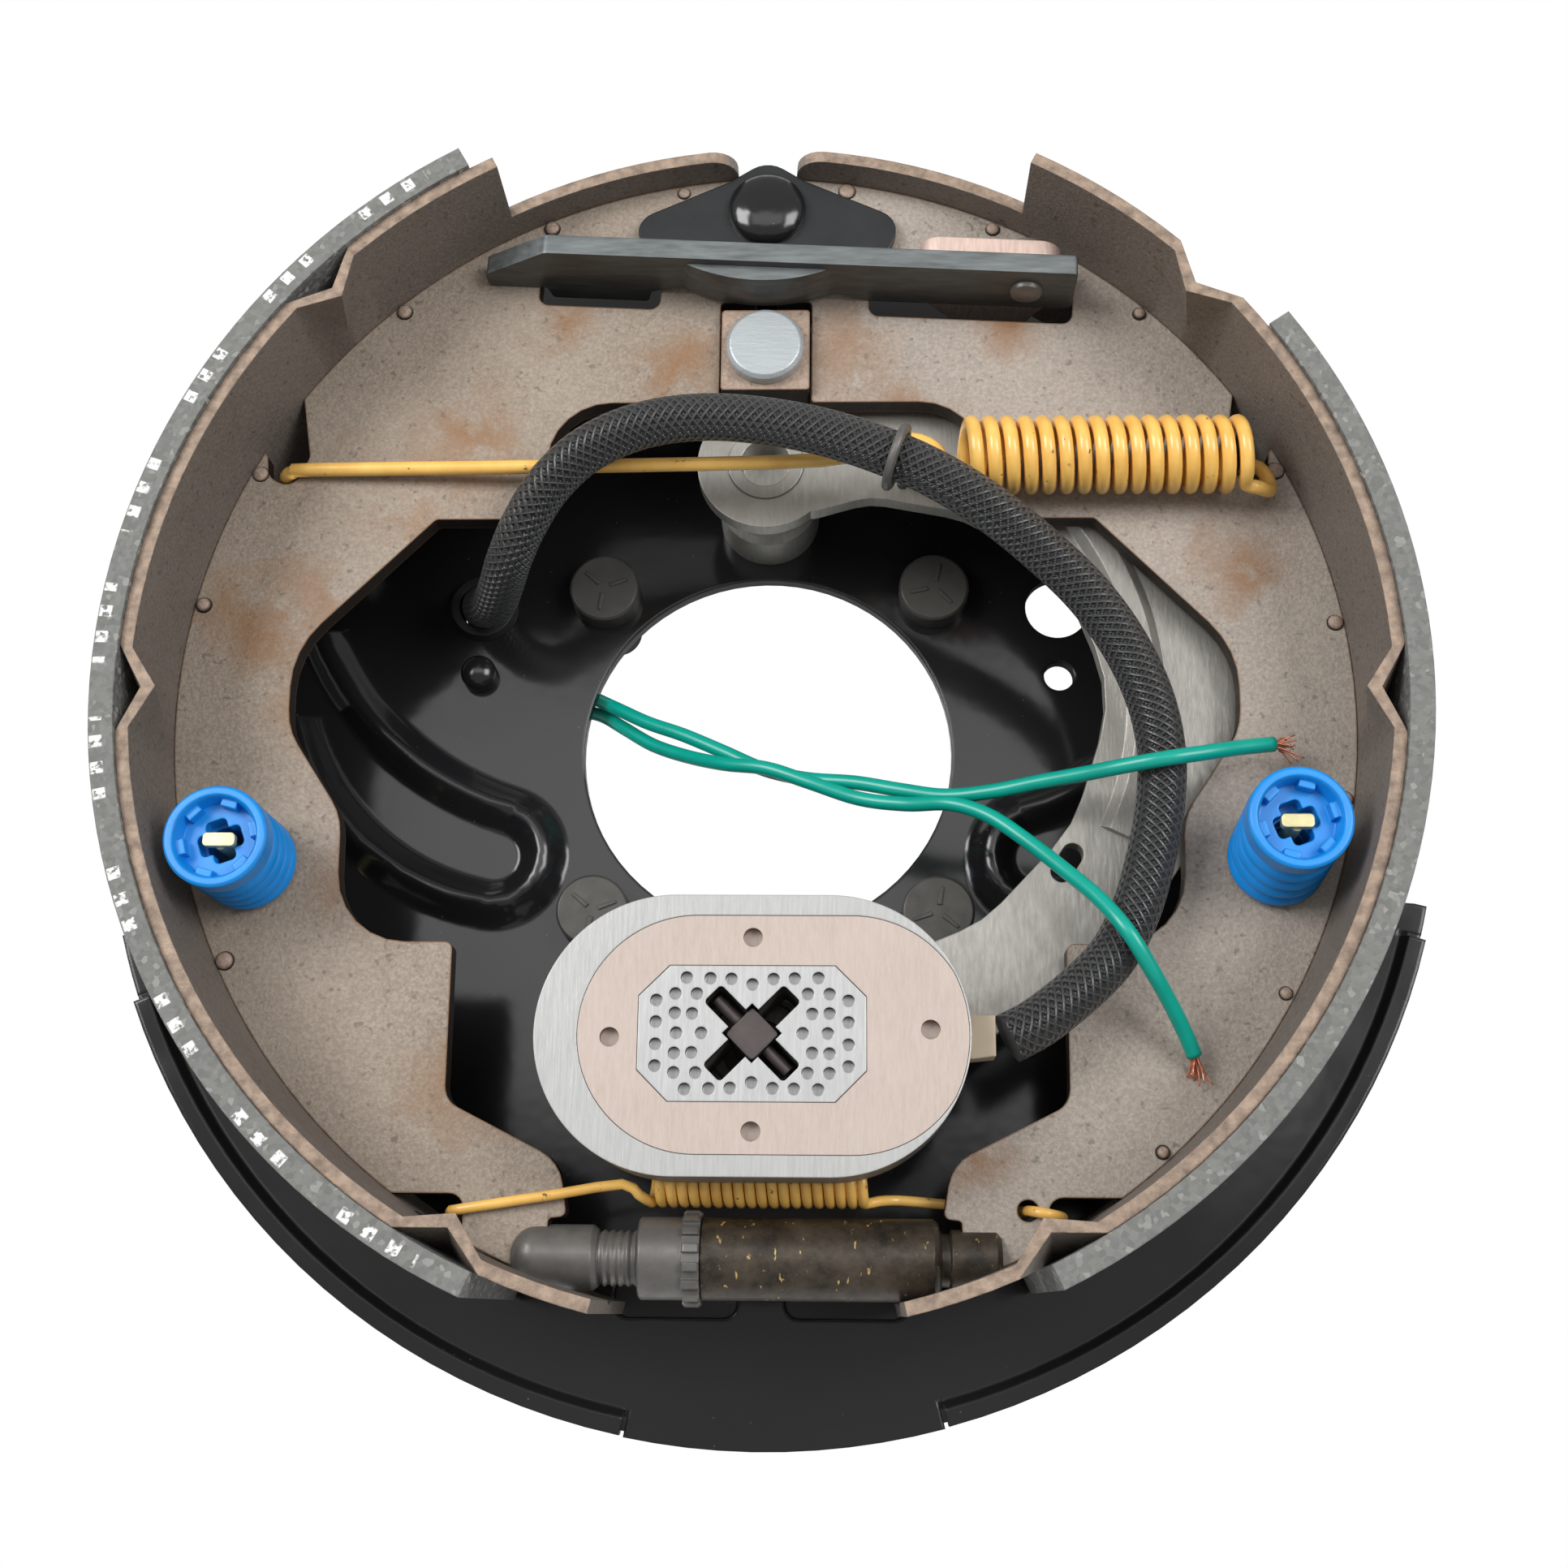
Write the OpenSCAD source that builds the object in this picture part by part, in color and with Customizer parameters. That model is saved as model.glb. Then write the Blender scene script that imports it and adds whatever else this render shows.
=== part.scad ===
// Electric trailer brake assembly, drum type, with magnet, lever arm and parking lever.
// Millimetres. Z runs along the wheel's axis towards the drum, Y towards the anchor post.
// The origin is the centre of the hub hole in the rear face of the backing plate.

/* [Backing plate] */
// Thickness of the pressed sheet
plate_t = 3; // [2.6:0.1:3.4]
// Radius of the hub hole
hub_r = 40.2; // [38:0.1:42]
// Radius of the flat floor, out to the rim band
floor_r = 128.5; // [127.5:0.1:129.5]
// Radius of the rim band's outer edge
band_r = 139; // [137:0.5:140]
// Radius of the turned-out flange
flange_r = 144; // [142:0.5:147]
// Height that the rim band stands above the floor
band_rise = 2; // [1:0.1:3]
// Height that the flange stands above the band
flange_rise = 2.5; // [1.5:0.1:3.5]
// Height of the curved stiffening beads
bead_h = 4.5; // [3:0.1:6]

/* [Mounting studs] */
// Distance between neighbouring studs of the square pattern
stud_pitch = 73; // [70:0.5:78]
// Radius of a stud's shank
stud_r = 5.5; // [5:0.1:6]
// Radius of a stud's head
stud_head_r = 7.7; // [7:0.1:8.5]
// Height of a stud's head
stud_head_h = 5.5; // [4:0.1:6.5]
// Length that a stud stands out behind the plate
stud_len = 22; // [18:0.5:28]

/* [Brake shoes] */
// Height of the web's front face
web_z = 39; // [38:0.1:40]
// Thickness of the web
web_t = 4.5; // [4:0.1:5]
// Width of the shoe table
table_w = 55; // [50:0.5:56]
// Inner radius of the shoe table
table_r = 119.3; // [118.5:0.1:120]
// Thickness of the shoe table
table_t = 2.5; // [2:0.1:3]
// Width of the table's narrow end by the anchor
tip_w = 19; // [16:0.5:24]
// Width of the lining
lining_w = 57; // [52:0.5:58]
// Thickness of the lining
lining_t = 4.6; // [3.5:0.1:5.5]
// How far each shoe's arc is centred past the plate's centre
shoe_inset = 1.2; // [0.5:0.1:2]
// Depth of the crimps pressed into the table's edges
crimp_depth = 5; // [3:0.1:6]

/* [Anchor and pivot] */
// Distance from the hub's centre to the anchor post
anchor_y = 110; // [109:0.5:111]
// Radius of the anchor post
anchor_r = 8.3; // [7.5:0.1:9]
// Thickness of the guide plate
guide_t = 2; // [1.5:0.1:2.5]
// Distance from the hub's centre to the lever arm's pivot
pivot_y = 55; // [54:0.5:56]
// Radius of the pivot post
pivot_r = 8; // [7:0.1:8.5]

/* [Lever arm] */
// Height of the arm's front face
arm_z = 32; // [30.5:0.1:32.2]
// Thickness of the arm
arm_t = 4; // [3:0.1:4.5]
// Radius of the arm's end round the pivot
arm_eye_r = 14.5; // [13:0.5:15.5]
// Distance from the hub's centre to the middle of the cam block
block_y = 76.8; // [76.3:0.1:77.3]
// Side of the square cam block
block_w = 18.6; // [17:0.1:19]
// Height of the cam block
block_h = 9.2; // [8.6:0.1:9.3]
// Radius of the rivet head on the cam block
rivet_r = 8.1; // [7:0.1:8.5]

/* [Magnet] */
// Distance from the hub's centre down to the magnet's middle
magnet_y = 69.8; // [69:0.1:71]
// Length of the magnet
magnet_l = 78.6; // [74:0.2:80]
// Width of the magnet
magnet_w = 50.6; // [48:0.2:51.5]
// Thickness of the magnet
magnet_t = 15; // [13:0.1:16]
// Height of the magnet's friction face
magnet_z = 60; // [59.5:0.1:62]
// Side of the square post that carries the magnet
post_w = 6.8; // [6:0.1:7.2]
// Length of the perforated pole plate
pole_l = 41; // [38:0.2:42]
// Width of the perforated pole plate
pole_w = 24.4; // [23.4:0.2:25]

/* [Adjuster] */
// Distance from the hub's centre down to the adjuster's axis
adjuster_y = 108.4; // [108:0.1:108.8]
// Radius of the sleeve
sleeve_r = 7.5; // [7:0.1:7.8]
// Radius of the slotted end caps
cap_r = 6; // [5.6:0.1:6.4]
// Radius of the star wheel
star_r = 8.8; // [8.4:0.1:9]
// Number of notches round the star wheel
star_notches = 16; // [12:1:20]
// Radius of the screw's thread
screw_r = 5.2; // [4.6:0.1:5.6]
// Pitch of the screw's thread
screw_pitch = 1.5; // [1:0.25:2]

/* [Springs] */
// Wire thickness of the upper return spring
upper_wire = 2.9; // [2.5:0.1:3.2]
// Outer diameter of the upper return spring
upper_d = 16; // [14:0.1:16.4]
// Number of turns in the upper return spring
upper_turns = 16; // [14:1:17]
// Wire thickness of the lower spring
lower_wire = 2; // [1.6:0.1:2]
// Outer diameter of the lower spring
lower_d = 9.8; // [9:0.1:10]
// Number of turns in the lower spring
lower_turns = 19; // [16:1:20]

/* [Shoe retainers] */
// Outer radius of the moulded retainer
retainer_r = 9.7; // [9:0.1:10.2]
// Height of the retainer
retainer_h = 22.5; // [20:0.5:24]
// Wire thickness of the hold-down pins
hold_pin_r = 1.6; // [1.3:0.1:2]

/* [Parking strut] */
// Thickness of the strut
strut_t = 4.3; // [3.8:0.1:4.6]
// Height of the strut's front edge
strut_z = 53; // [51:0.5:55]
// Thickness of the parking lever
park_t = 4; // [3:0.1:4.5]
// Radius of the pin that joins lever and strut
park_pin_r = 3; // [2.5:0.1:3.4]

/* [Leads] */
// Outer diameter of the braided conduit
conduit_d = 9.4; // [8.6:0.1:9.6]
// Outer diameter of each insulated lead
lead_d = 3; // [2.6:0.1:3.2]

/* [Hidden] */
$fn = 64;

// Clearances: between pieces that slide, pieces that seat, and a shaft and its bore
slide_gap = 0.3;
seat_gap = 0.2;
bore_gap = 0.05;
web_mid = web_z - web_t / 2;
web_back = web_z - web_t;
table_back = web_mid - table_w / 2;
pad_r = table_r - shoe_inset - 2.2;
guide_z = web_z + slide_gap;
stud_xy = stud_pitch / 2;
stud_collar_r = stud_r + 0.6; // the collar that fills the hole of the plate
magnet_back = magnet_z - magnet_t;

// Where the strut lies: its middle, and its turn about the plate's axis
strut_y = 92.6;
strut_turn = -3;
park_pin_x = 54.6;
park_pin_z = 46;

// Where the hold-down pins pass the plate and the webs
hold_x = 100;
hold_y = -34;
// How far the right retainer leans towards the anchor at its top
right_lean = 4;

// Where the conduit passes the plate, and the matching spare hole on the other side
gland_x = 64;
gland_y = 33.5;
gland_r = 5.4;
stop_y = 17.5;

// The hairpin bead's arcs: centre, radii, and the angles where the bend meets its arms
bead_w = 12;
upper_arm = [34, 54];
upper_arm_r = 71;
lower_arm_r = 55.5;
bend_r = 10.6;
upper_end = -72.5;
lower_end = -79;

// Ends of the slotted caps and the shoulders of the adjuster along X
cap_reach = 45.6;
slot_reach = 38.2;
screw_neck = 28.9;
collar_x = 21.3;
wheel_x0 = 13.1;
wheel_x1 = 9.8;
sleeve_x = 34;
web_reach = slot_reach + seat_gap;

// Angles, from +X, where each shoe's table steps down, ends, and is crimped
step_a = 62.4;
tip_a = 86.4;
table_end_a = -76.5;
crimp_angles = [42, -2.8, -63];
primary_lining_a = [34.3, -64.2];
secondary_lining_a = [60, -66.5];

// The braided conduit's route, from the magnet round to the plate's gland
conduit_route = [
    [46.6, -69.2, 50.5], [52.4, -66, 50], [60, -60, 49], [66.8, -53, 48], [71.6, -44, 47.2],
    [74.8, -34, 46.8], [77, -24, 46.5], [77.8, -13, 46.5], [76, -2, 46.6], [71.5, 9, 46.8],
    [64.4, 19.3, 48], [54.8, 28.1, 50.6], [44.6, 35.1, 54.4], [34.5, 40.9, 56.4], [24.4, 45.6, 57],
    [12.5, 50, 56.6], [0, 53, 55.8], [-12.5, 54.3, 54.8], [-24.5, 53, 53.6],
    [-35, 49, 51.6], [-43, 43, 48.2], [-48.6, 36.6, 43.2], [-52.6, 31.8, 36.4],
    [-55.6, 29.4, 28], [-58.4, 28.6, 20], [-61.8, 30.4, 12.5], [-63.6, 32.8, 6],
    [-64, 33.5, 0], [-64, 33.5, -7]];

// The two leads' routes, from the conduit's rear end through the hub hole to the front
lead_upper_route = [
    [-64, 35.1, -7], [-64, 35.1, -11.4], [-61.8, 32.4, -15], [-57, 27.4, -15.8],
    [-51, 22.8, -12.6], [-45, 18.8, -8.6], [-38.6, 14.2, -3.6], [-33, 10.4, 0.6],
    [-26, 6, 4.8], [-18, 2, 9], [-9, -3, 13], [0, -8, 16.6], [9, -11, 20],
    [19, -12.8, 23.6], [28, -15.3, 27], [37, -17.8, 31.6], [46, -18, 35.8], [55, -17.4, 40.6],
    [63, -17.2, 45.6], [70, -17, 50.4], [77.4, -16.4, 53.4], [85, -14.8, 51.8],
    [92.5, -12.8, 48.6], [99.5, -11.2, 45.6]];
lead_lower_route = [
    [-64, 31.9, -7], [-64, 31.9, -8.6], [-60.6, 28.4, -11.2], [-56, 22.8, -11.8],
    [-51, 18, -11.8], [-45.4, 14.2, -9.8], [-37.8, 11, -5.2], [-32, 6.6, -1],
    [-25, 1.4, 3.4], [-17, -2.8, 8.8], [-8.5, -6.6, 16], [0.5, -9, 21],
    [9.5, -12.8, 23.8], [19.6, -16.8, 25.8], [29, -19, 29.6], [37.6, -20.4, 35.2],
    [45, -23.6, 38], [52, -29.6, 41.6], [58.6, -36.6, 46.4], [64, -43, 51.3],
    [68.6, -50, 54.9], [73, -56.6, 52.4], [76.6, -61.6, 48.4], [80, -67, 44.4],
    [82, -71, 42.2]];
copper_upper = [[99.5, -11.2, 45.6], [101.25, -10.8, 44.85], [104.4, -11.8, 43.8]];
copper_lower = [[82, -71, 42.2], [82.8, -72.6, 41.32], [82.2, -75.6, 40.8]];

// Unit vector along v
function unit(v) = v / norm(v);

// The same angle, brought between -180 and 180 degrees
function wrap(a) = a > 180 ? a - 360 : a < -180 ? a + 360 : a;

// The x and y of a point
function flat(p) = [p[0], p[1]];

// Points that round the corner q, between p and s, with radius r
function corner(p, q, s, r) =
    r == 0 ? [q] :
    let (u = unit(p - q), v = unit(s - q), half = acos(u * v) / 2,
        c = q + unit(u + v) * r / sin(half),
        a = q + u * r / tan(half) - c, b = q + v * r / tan(half) - c,
        a0 = atan2(a[1], a[0]), turn = wrap(atan2(b[1], b[0]) - a0),
        n = max(1, ceil(abs(turn) / 15)))
    [for (i = [0:n]) c + r * [cos(a0 + turn * i / n), sin(a0 + turn * i / n)]];

// A closed outline from corners [x, y, radius]
function rounded(pts) =
    let (n = len(pts))
    [for (i = [0:n - 1])
        each corner(flat(pts[(i + n - 1) % n]), flat(pts[i]), flat(pts[(i + 1) % n]), pts[i][2])];

// Direction of a route at its point i
function heading(route, i) =
    unit(route[min(i + 1, len(route) - 1)] - route[max(i - 1, 0)]);

// The part of v that is square to direction d, as a unit vector
function square_to(v, d) = unit(v - d * (v * d));

// A side vector at every point of a route, carried along without twist
function side_vectors(route, first) =
    [for (i = 0, s = square_to(first, heading(route, 0)); i < len(route);
        i = i + 1, s = square_to(s, heading(route, min(i, len(route) - 1)))) s];

// Polar point, from radius, angle and height
function polar(r, a, z) = [r * cos(a), r * sin(a), z];

// A round bar of radius r with the given number of sides, swept along a route
module sweep(route, r, sides, first = [0, 0, 1]) {
    n = len(route);
    side = side_vectors(route, first);
    points = [for (i = [0:n - 1], k = [0:sides - 1])
        let (a = 360 * k / sides, t = heading(route, i))
        route[i] + r * (cos(a) * side[i] + sin(a) * cross(t, side[i]))];
    walls = [for (i = [0:n - 2], k = [0:sides - 1])
        let (a = i * sides + k, b = i * sides + (k + 1) % sides)
        each [[a, b, b + sides], [a, b + sides, a + sides]]];
    caps = [[for (k = [sides - 1:-1:0]) k], [for (k = [0:sides - 1]) (n - 1) * sides + k]];
    polyhedron(points, [for (f = concat(walls, caps)) [f[2], f[1], f[0], for (k = [len(f) - 1:-1:3]) f[k]]]);
}

// A coil round a line along X, from x0 to x1, starting at angle a0 round the line
function coil(x0, x1, y, z, r, turns, steps, a0) =
    [for (i = [0:turns * steps])
        let (a = a0 + 360 * i / steps)
        [x0 + (x1 - x0) * i / (turns * steps), y + r * cos(a), z + r * sin(a)]];

// A sector of a ring, from angle a0 to a1, between two radii and two heights
module ring_sector(r0, r1, z0, z1, a0, a1) {
    rotate([0, 0, a1]) rotate_extrude(angle = a0 - a1, $fn = 180)
        translate([r0, z0]) square([r1 - r0, z1 - z0]);
}

// A slot with round ends along X, or with round corners where r is less than half of w
module slot_2d(l, w, r) {
    polygon(rounded([[l / 2, w / 2, r], [-l / 2, w / 2, r], [-l / 2, -w / 2, r], [l / 2, -w / 2, r]]));
}

// Moves its children into the strut's own frame, with X along the strut
module in_strut_frame() {
    translate([0, strut_y, 0]) rotate([0, 0, strut_turn]) children();
}

// Points along an arc in the plate's plane, one every 4 degrees or so
function arc_route(c, r, a0, a1) =
    let (n = ceil(abs(a1 - a0) / 4))
    [for (i = [0:n]) let (a = a0 + (a1 - a0) * i / n) [c[0] + r * cos(a), c[1] + r * sin(a), 0]];

// A hump-shaped bead along a flat route: h high, and w wide at its foot
module bead(route, w, h) {
    n = len(route);
    across = 9;
    points = [for (i = [0:n - 1], k = [-4:4])
        let (t = heading(route, i))
        route[i] + [t[1], -t[0], 0] * w * k / 8 + [0, 0, h * (1 + cos(45 * k)) / 2 - 0.01 * h]];
    walls = [for (i = [0:n - 2], k = [0:across - 1])
        let (a = i * across + k, b = i * across + (k + 1) % across)
        each [[b + across, b, a], [a + across, b + across, a]]];
    caps = [[for (k = [0:across - 1]) k], [for (k = [across - 1:-1:0]) (n - 1) * across + k]];
    polyhedron(points, concat(walls, caps));
}

// The hairpin-shaped bead beside the hub on the right: two arms and the bend that joins them with no kink
module hairpin_bead(h) {
    centre = upper_arm + (upper_arm_r + bend_r) * [cos(upper_end), sin(upper_end)];
    lower_arm = centre - (lower_arm_r - bend_r) * [cos(lower_end), sin(lower_end)];
    bend = arc_route(centre, bend_r, 180 + upper_end, 360 + lower_end);
    upper = arc_route(upper_arm, upper_arm_r, -23, upper_end);
    lower = arc_route(lower_arm, lower_arm_r, lower_end, -14);
    bead(concat(upper, [for (i = [1:len(bend) - 2]) bend[i]], lower), bead_w, h);
}

// The raised pad that the shoe table's rear edge slides on, by angle
module shoe_pad(a, h, l, w, r) {
    rotate([0, 0, a]) translate([pad_r, 0, 0]) rotate([0, 0, 90]) linear_extrude(h) slot_2d(l, w, r);
}

// The rim's section as the sheet's front line, from the floor outward
function rim_front() = [[floor_r - 4, plate_t], [floor_r, plate_t], [floor_r + 3, plate_t + band_rise],
    [band_r, plate_t + band_rise]];

module rim_band() {
    front = rim_front();
    rotate_extrude($fn = 180)
        polygon(concat(front, [for (i = [3:-1:0]) front[i] - [0, plate_t]]));
}

// A length of the rim's lip, turned up by rise and out to radius r
module rim_lip(r, rise, a0, a1) {
    z = plate_t + band_rise;
    rotate([0, 0, a0]) rotate_extrude(angle = a1 - a0, $fn = 180)
        polygon([[band_r - 1, z], [band_r + 0.2, z], [band_r + 1.6, z + rise], [r, z + rise],
            [r, z + rise - plate_t], [band_r + 2.6, z + rise - plate_t], [band_r + 1.2, z - plate_t],
            [band_r - 1, z - plate_t]]);
}

module backing_plate() {
    color([0.07, 0.07, 0.075]) difference() {
        union() {
            cylinder(r = floor_r - 2, h = plate_t, $fn = 180);
            rim_band();
            rim_lip(flange_r, flange_rise, 203, 259);
            rim_lip(flange_r, flange_rise, 285, 343);
            rim_lip(flange_r - 0.8, flange_rise - 1.5, 197, 202.5);
            rim_lip(flange_r + 0.3, flange_rise - 1.5, 259.3, 284.7);
            rim_lip(flange_r - 0.8, flange_rise - 1.5, 343.4, 346);
            translate([0, 0, plate_t]) {
                hairpin_bead(bead_h);
                mirror([1, 0, 0]) hairpin_bead(bead_h);
            }
            for (side = [0, 1], a = [50, -18, -58]) mirror([side, 0, 0])
                shoe_pad(a, table_back - seat_gap, 26, 8, 3);
        }
        // The sheet's back follows the beads and pads
        hairpin_bead(bead_h);
        mirror([1, 0, 0]) hairpin_bead(bead_h);
        for (side = [0, 1], a = [50, -18, -58]) mirror([side, 0, 0]) translate([0, 0, -plate_t])
            shoe_pad(a, table_back - seat_gap, 20, 3.4, 1.6);
        translate([0, 0, -1]) cylinder(r = hub_r, h = plate_t + 2, $fn = 128);
        for (x = [-1, 1], y = [-1, 1]) translate([x * stud_xy, y * stud_xy, -1])
            cylinder(r = stud_collar_r + bore_gap, h = plate_t + 2);
        translate([0, anchor_y, -1]) cylinder(r = anchor_r - 1 + bore_gap, h = plate_t + 2);
        translate([0, pivot_y, -1]) cylinder(r = pivot_r - 1 + bore_gap, h = plate_t + 2);
        for (x = [-1, 1]) {
            translate([x * hold_x, hold_y, -1]) cylinder(r = hold_pin_r + 1, h = plate_t + 2);
            translate([x * gland_x, gland_y, -1]) cylinder(r = gland_r + 1.6, h = plate_t + 2);
            translate([x * gland_x, stop_y, -1]) cylinder(r = 3.3, h = plate_t + 2);
            translate([x * 17.2, -plug_y, -1]) linear_extrude(plate_t + 2) slot_2d(25, 8, 3);
        }
        in_strut_frame() translate([park_x - 5, park_y, -1]) linear_extrude(plate_t + 2)
            slot_2d(28, park_t + 3, 2);
    }
}
plug_y = 115.2;

module mounting_studs() {
    color([0.2, 0.19, 0.17]) for (x = [-1, 1], y = [-1, 1]) translate([x * stud_xy, y * stud_xy, 0]) {
        translate([0, 0, plate_t]) rotate_extrude()
            polygon([[0, 0], [stud_head_r, 0], [stud_head_r, stud_head_h - 0.5],
                [stud_head_r - 0.5, stud_head_h], [0, stud_head_h]]);
        rotate_extrude()
            polygon([[0, -stud_len], [stud_r - 1, -stud_len], [stud_r, 1 - stud_len],
                [stud_r, 0], [stud_collar_r, 0], [stud_collar_r, plate_t], [0, plate_t]]);
    }
}

module slot_plugs() {
    color([0.05, 0.05, 0.05]) for (x = [-1, 1]) translate([x * 17.2, -plug_y, 0]) {
        translate([0, 0, -1.6]) linear_extrude(1.6) slot_2d(28, 11, 4);
        linear_extrude(plate_t - 0.6) slot_2d(25 - 2 * bore_gap, 8 - 2 * bore_gap, 3);
    }
}

module anchor_post() {
    neck = anchor_r - 1;
    top = guide_z + guide_t;
    color([0.12, 0.12, 0.12]) translate([0, anchor_y, 0]) rotate_extrude()
        polygon([[0, -3], [neck + 2, -3], [neck + 3, -2], [neck + 3, 0], [neck, 0], [neck, plate_t],
            [anchor_r + 4, plate_t], [anchor_r + 4, plate_t + 4], [anchor_r, plate_t + 4],
            [anchor_r, guide_z], [neck - 1.5, guide_z], [neck - 1.5, top], [anchor_r, top],
            each [for (i = [0:6]) [anchor_r * cos(15 * i), top + 0.6 + 3.2 * sin(15 * i)]]]);
}

module guide_plate() {
    color([0.13, 0.13, 0.13]) difference() {
        translate([0, 0, guide_z]) linear_extrude(guide_t)
            polygon(rounded([[25.6, 99, 4], [29, 107.5, 5], [8, 117.2, 5], [0, 122.4, 6], [-8, 117.2, 5],
                [-29, 107.5, 5], [-25.6, 99, 4]]));
        translate([0, anchor_y, guide_z - 1])
            cylinder(r = anchor_r - 2.5 + bore_gap, h = guide_t + 2);
    }
}

module pivot_post() {
    color([0.45, 0.44, 0.42]) translate([0, pivot_y, 0]) rotate_extrude()
        polygon([[0, -3], [pivot_r + 2, -3], [pivot_r + 2, 0], [pivot_r - 1, 0], [pivot_r - 1, plate_t],
            [pivot_r + 3, plate_t], [pivot_r + 3, 14], [pivot_r + 1.5, 15.5],
            [pivot_r + 1.5, arm_z - arm_t - seat_gap], [pivot_r, arm_z - arm_t - seat_gap],
            [pivot_r, arm_z + 0.4], [pivot_r - 2.7, arm_z + 0.4], [pivot_r - 3, arm_z - 6],
            [0, arm_z - 6]]);
}

module stop_pin() {
    color([0.1, 0.1, 0.1]) translate([-gland_x, stop_y, 0]) rotate_extrude()
        polygon([[0, -2], [5, -2], [5, 0], [3.2, 0], [3.2, plate_t], [3.9, plate_t],
            each [for (i = [0:6]) [3.9 * cos(15 * i), plate_t + 2.6 + 2.6 * sin(15 * i)]]]);
}

module conduit_grommet() {
    hole = conduit_d / 2 + slide_gap;
    color([0.06, 0.06, 0.06]) translate([-gland_x, gland_y, 0]) rotate_extrude()
        polygon([[hole, -2], [gland_r + 3, -2], [gland_r + 3, 0], [gland_r + 1.5, 0],
            [gland_r + 1.5, plate_t], [gland_r + 2.4, plate_t], [gland_r + 1.6, plate_t + 2],
            [hole + 0.2, plate_t + 2]]);
}

module conduit() {
    color([0.08, 0.08, 0.08]) sweep(conduit_route, conduit_d / 2, 10);
}

module lead_upper() {
    color([0, 0.6, 0.5]) sweep(lead_upper_route, lead_d / 2, 8, [1, 0, 0]);
}

module lead_lower() {
    color([0, 0.6, 0.5]) sweep(lead_lower_route, lead_d / 2, 8, [1, 0, 0]);
}

module lead_ends() {
    color([0.75, 0.4, 0.3]) {
        sweep(copper_upper, lead_d / 3, 8);
        sweep(copper_lower, lead_d / 3, 8);
    }
}

// Outline of the right-hand web, cut to the table's inside by web()
function web_corners() = [[2.2, 89.2, 0], [block_w / 2 + slide_gap + 0.1, 89.2, 1],
    [block_w / 2 + slide_gap + 0.1, 65.7, 0.8], [44.8, 65.7, 13], [45.4, 46.5, 5], [52, 39.3, 1],
    [67.8, 39.3, 1.5], [95.4, 10.8, 19], [95, -6, 14], [82.9, -24, 13], [82.2, -49.3, 14],
    [59.3, -49.3, 1.5], [59, -79.8, 4.5], [36.6, -91, 8], [35, -101, 1.2], [web_reach, -101.4, 0.8],
    [web_reach, -130, 0], [150, -130, 0], [150, 130, 0], [2.2, 130, 0]];

// A shoe's web on the right-hand side; the lower spring's hook hole is in the primary only
module web(hook_hole) {
    difference() {
        intersection() {
            translate([0, 0, web_back]) linear_extrude(web_t) polygon(rounded(web_corners()));
            translate([-shoe_inset, 0, 0]) cylinder(r = table_r - 0.1, h = web_z + 1, $fn = 180);
        }
        // Seat against the anchor post
        translate([0, anchor_y, 0]) cylinder(r = anchor_r + slide_gap, h = 60);
        // Notch that takes the upper spring's hook
        translate([0, 0, web_back - 1]) linear_extrude(web_t + 2)
            polygon(rounded([[98, 70, 0], [95.2, 53.5, 2], [98.4, 46.2, 3], [103.6, 49, 3],
                [104.2, 54.6, 1.5], [120, 55.4, 0], [120, 70, 0]]));
        // Notch that takes the lower spring's hook
        translate([0, 0, web_back - 1]) linear_extrude(web_t + 2)
            polygon(rounded([[54.4, -97, 2.8], [54.4, -104.6, 2.5], [80, -107, 0], [80, -97, 0]]));
        translate([hold_x, hold_y, 0]) cylinder(r = 6.2, h = 60);
        if (hook_hole) translate([50.6, -99.4, 0]) cylinder(r = lower_wire / 2 + 1, h = 60);
        children();
    }
}

// Slot in a web for the parking strut or lever, between two places along and across the strut
module strut_slot(x0, x1, y0, y1) {
    in_strut_frame() translate([(x0 + x1) / 2, (y0 + y1) / 2, web_back - 1])
        linear_extrude(web_t + 2) slot_2d(x1 - x0, y1 - y0, 2.2);
}

// Three-sided dent in the table's front edge at angle a; with flip it is in the rear edge
module crimp(r, a, half_a, depth, reach, over) {
    for (flip = [0, 1]) translate([0, 0, web_mid]) mirror([0, 0, flip])
        polyhedron([polar(r, a - half_a, table_w / 2 + over), polar(r, a + half_a, table_w / 2 + over),
            polar(r - depth, a, table_w / 2 + over), polar(r, a, reach)],
            [[0, 1, 2], [0, 3, 1], [1, 3, 2], [2, 3, 0]]);
}

module table() {
    r1 = table_r + table_t;
    difference() {
        translate([-shoe_inset, 0, 0]) difference() {
            union() {
                ring_sector(table_r, r1, table_back, table_back + table_w, table_end_a, step_a);
                intersection() {
                    ring_sector(table_r, r1, web_mid - tip_w, web_mid + tip_w, step_a - 1, tip_a + 3);
                    rotate([0, 0, tip_a]) translate([table_r - 20, 0, web_mid]) rotate([90, 0, 90])
                        linear_extrude(40) polygon(rounded([[0, tip_w / 2, 6], [-80, tip_w / 2, 0],
                            [-80, -tip_w / 2, 0], [0, -tip_w / 2, 6]]));
                }
                for (a = crimp_angles) crimp(table_r + 1.2, a, 4.6, crimp_depth + 1.2, 4, -0.01);
            }
            for (a = crimp_angles) crimp(r1 + 1.2, a, 5.2, crimp_depth + 1.2, 5.5, 1);
        }
        // Relief for the adjuster
        translate([0, -adjuster_y, web_mid]) rotate([0, 90, 0])
            cylinder(r = sleeve_r + 0.8, h = 70);
    }
}

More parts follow.
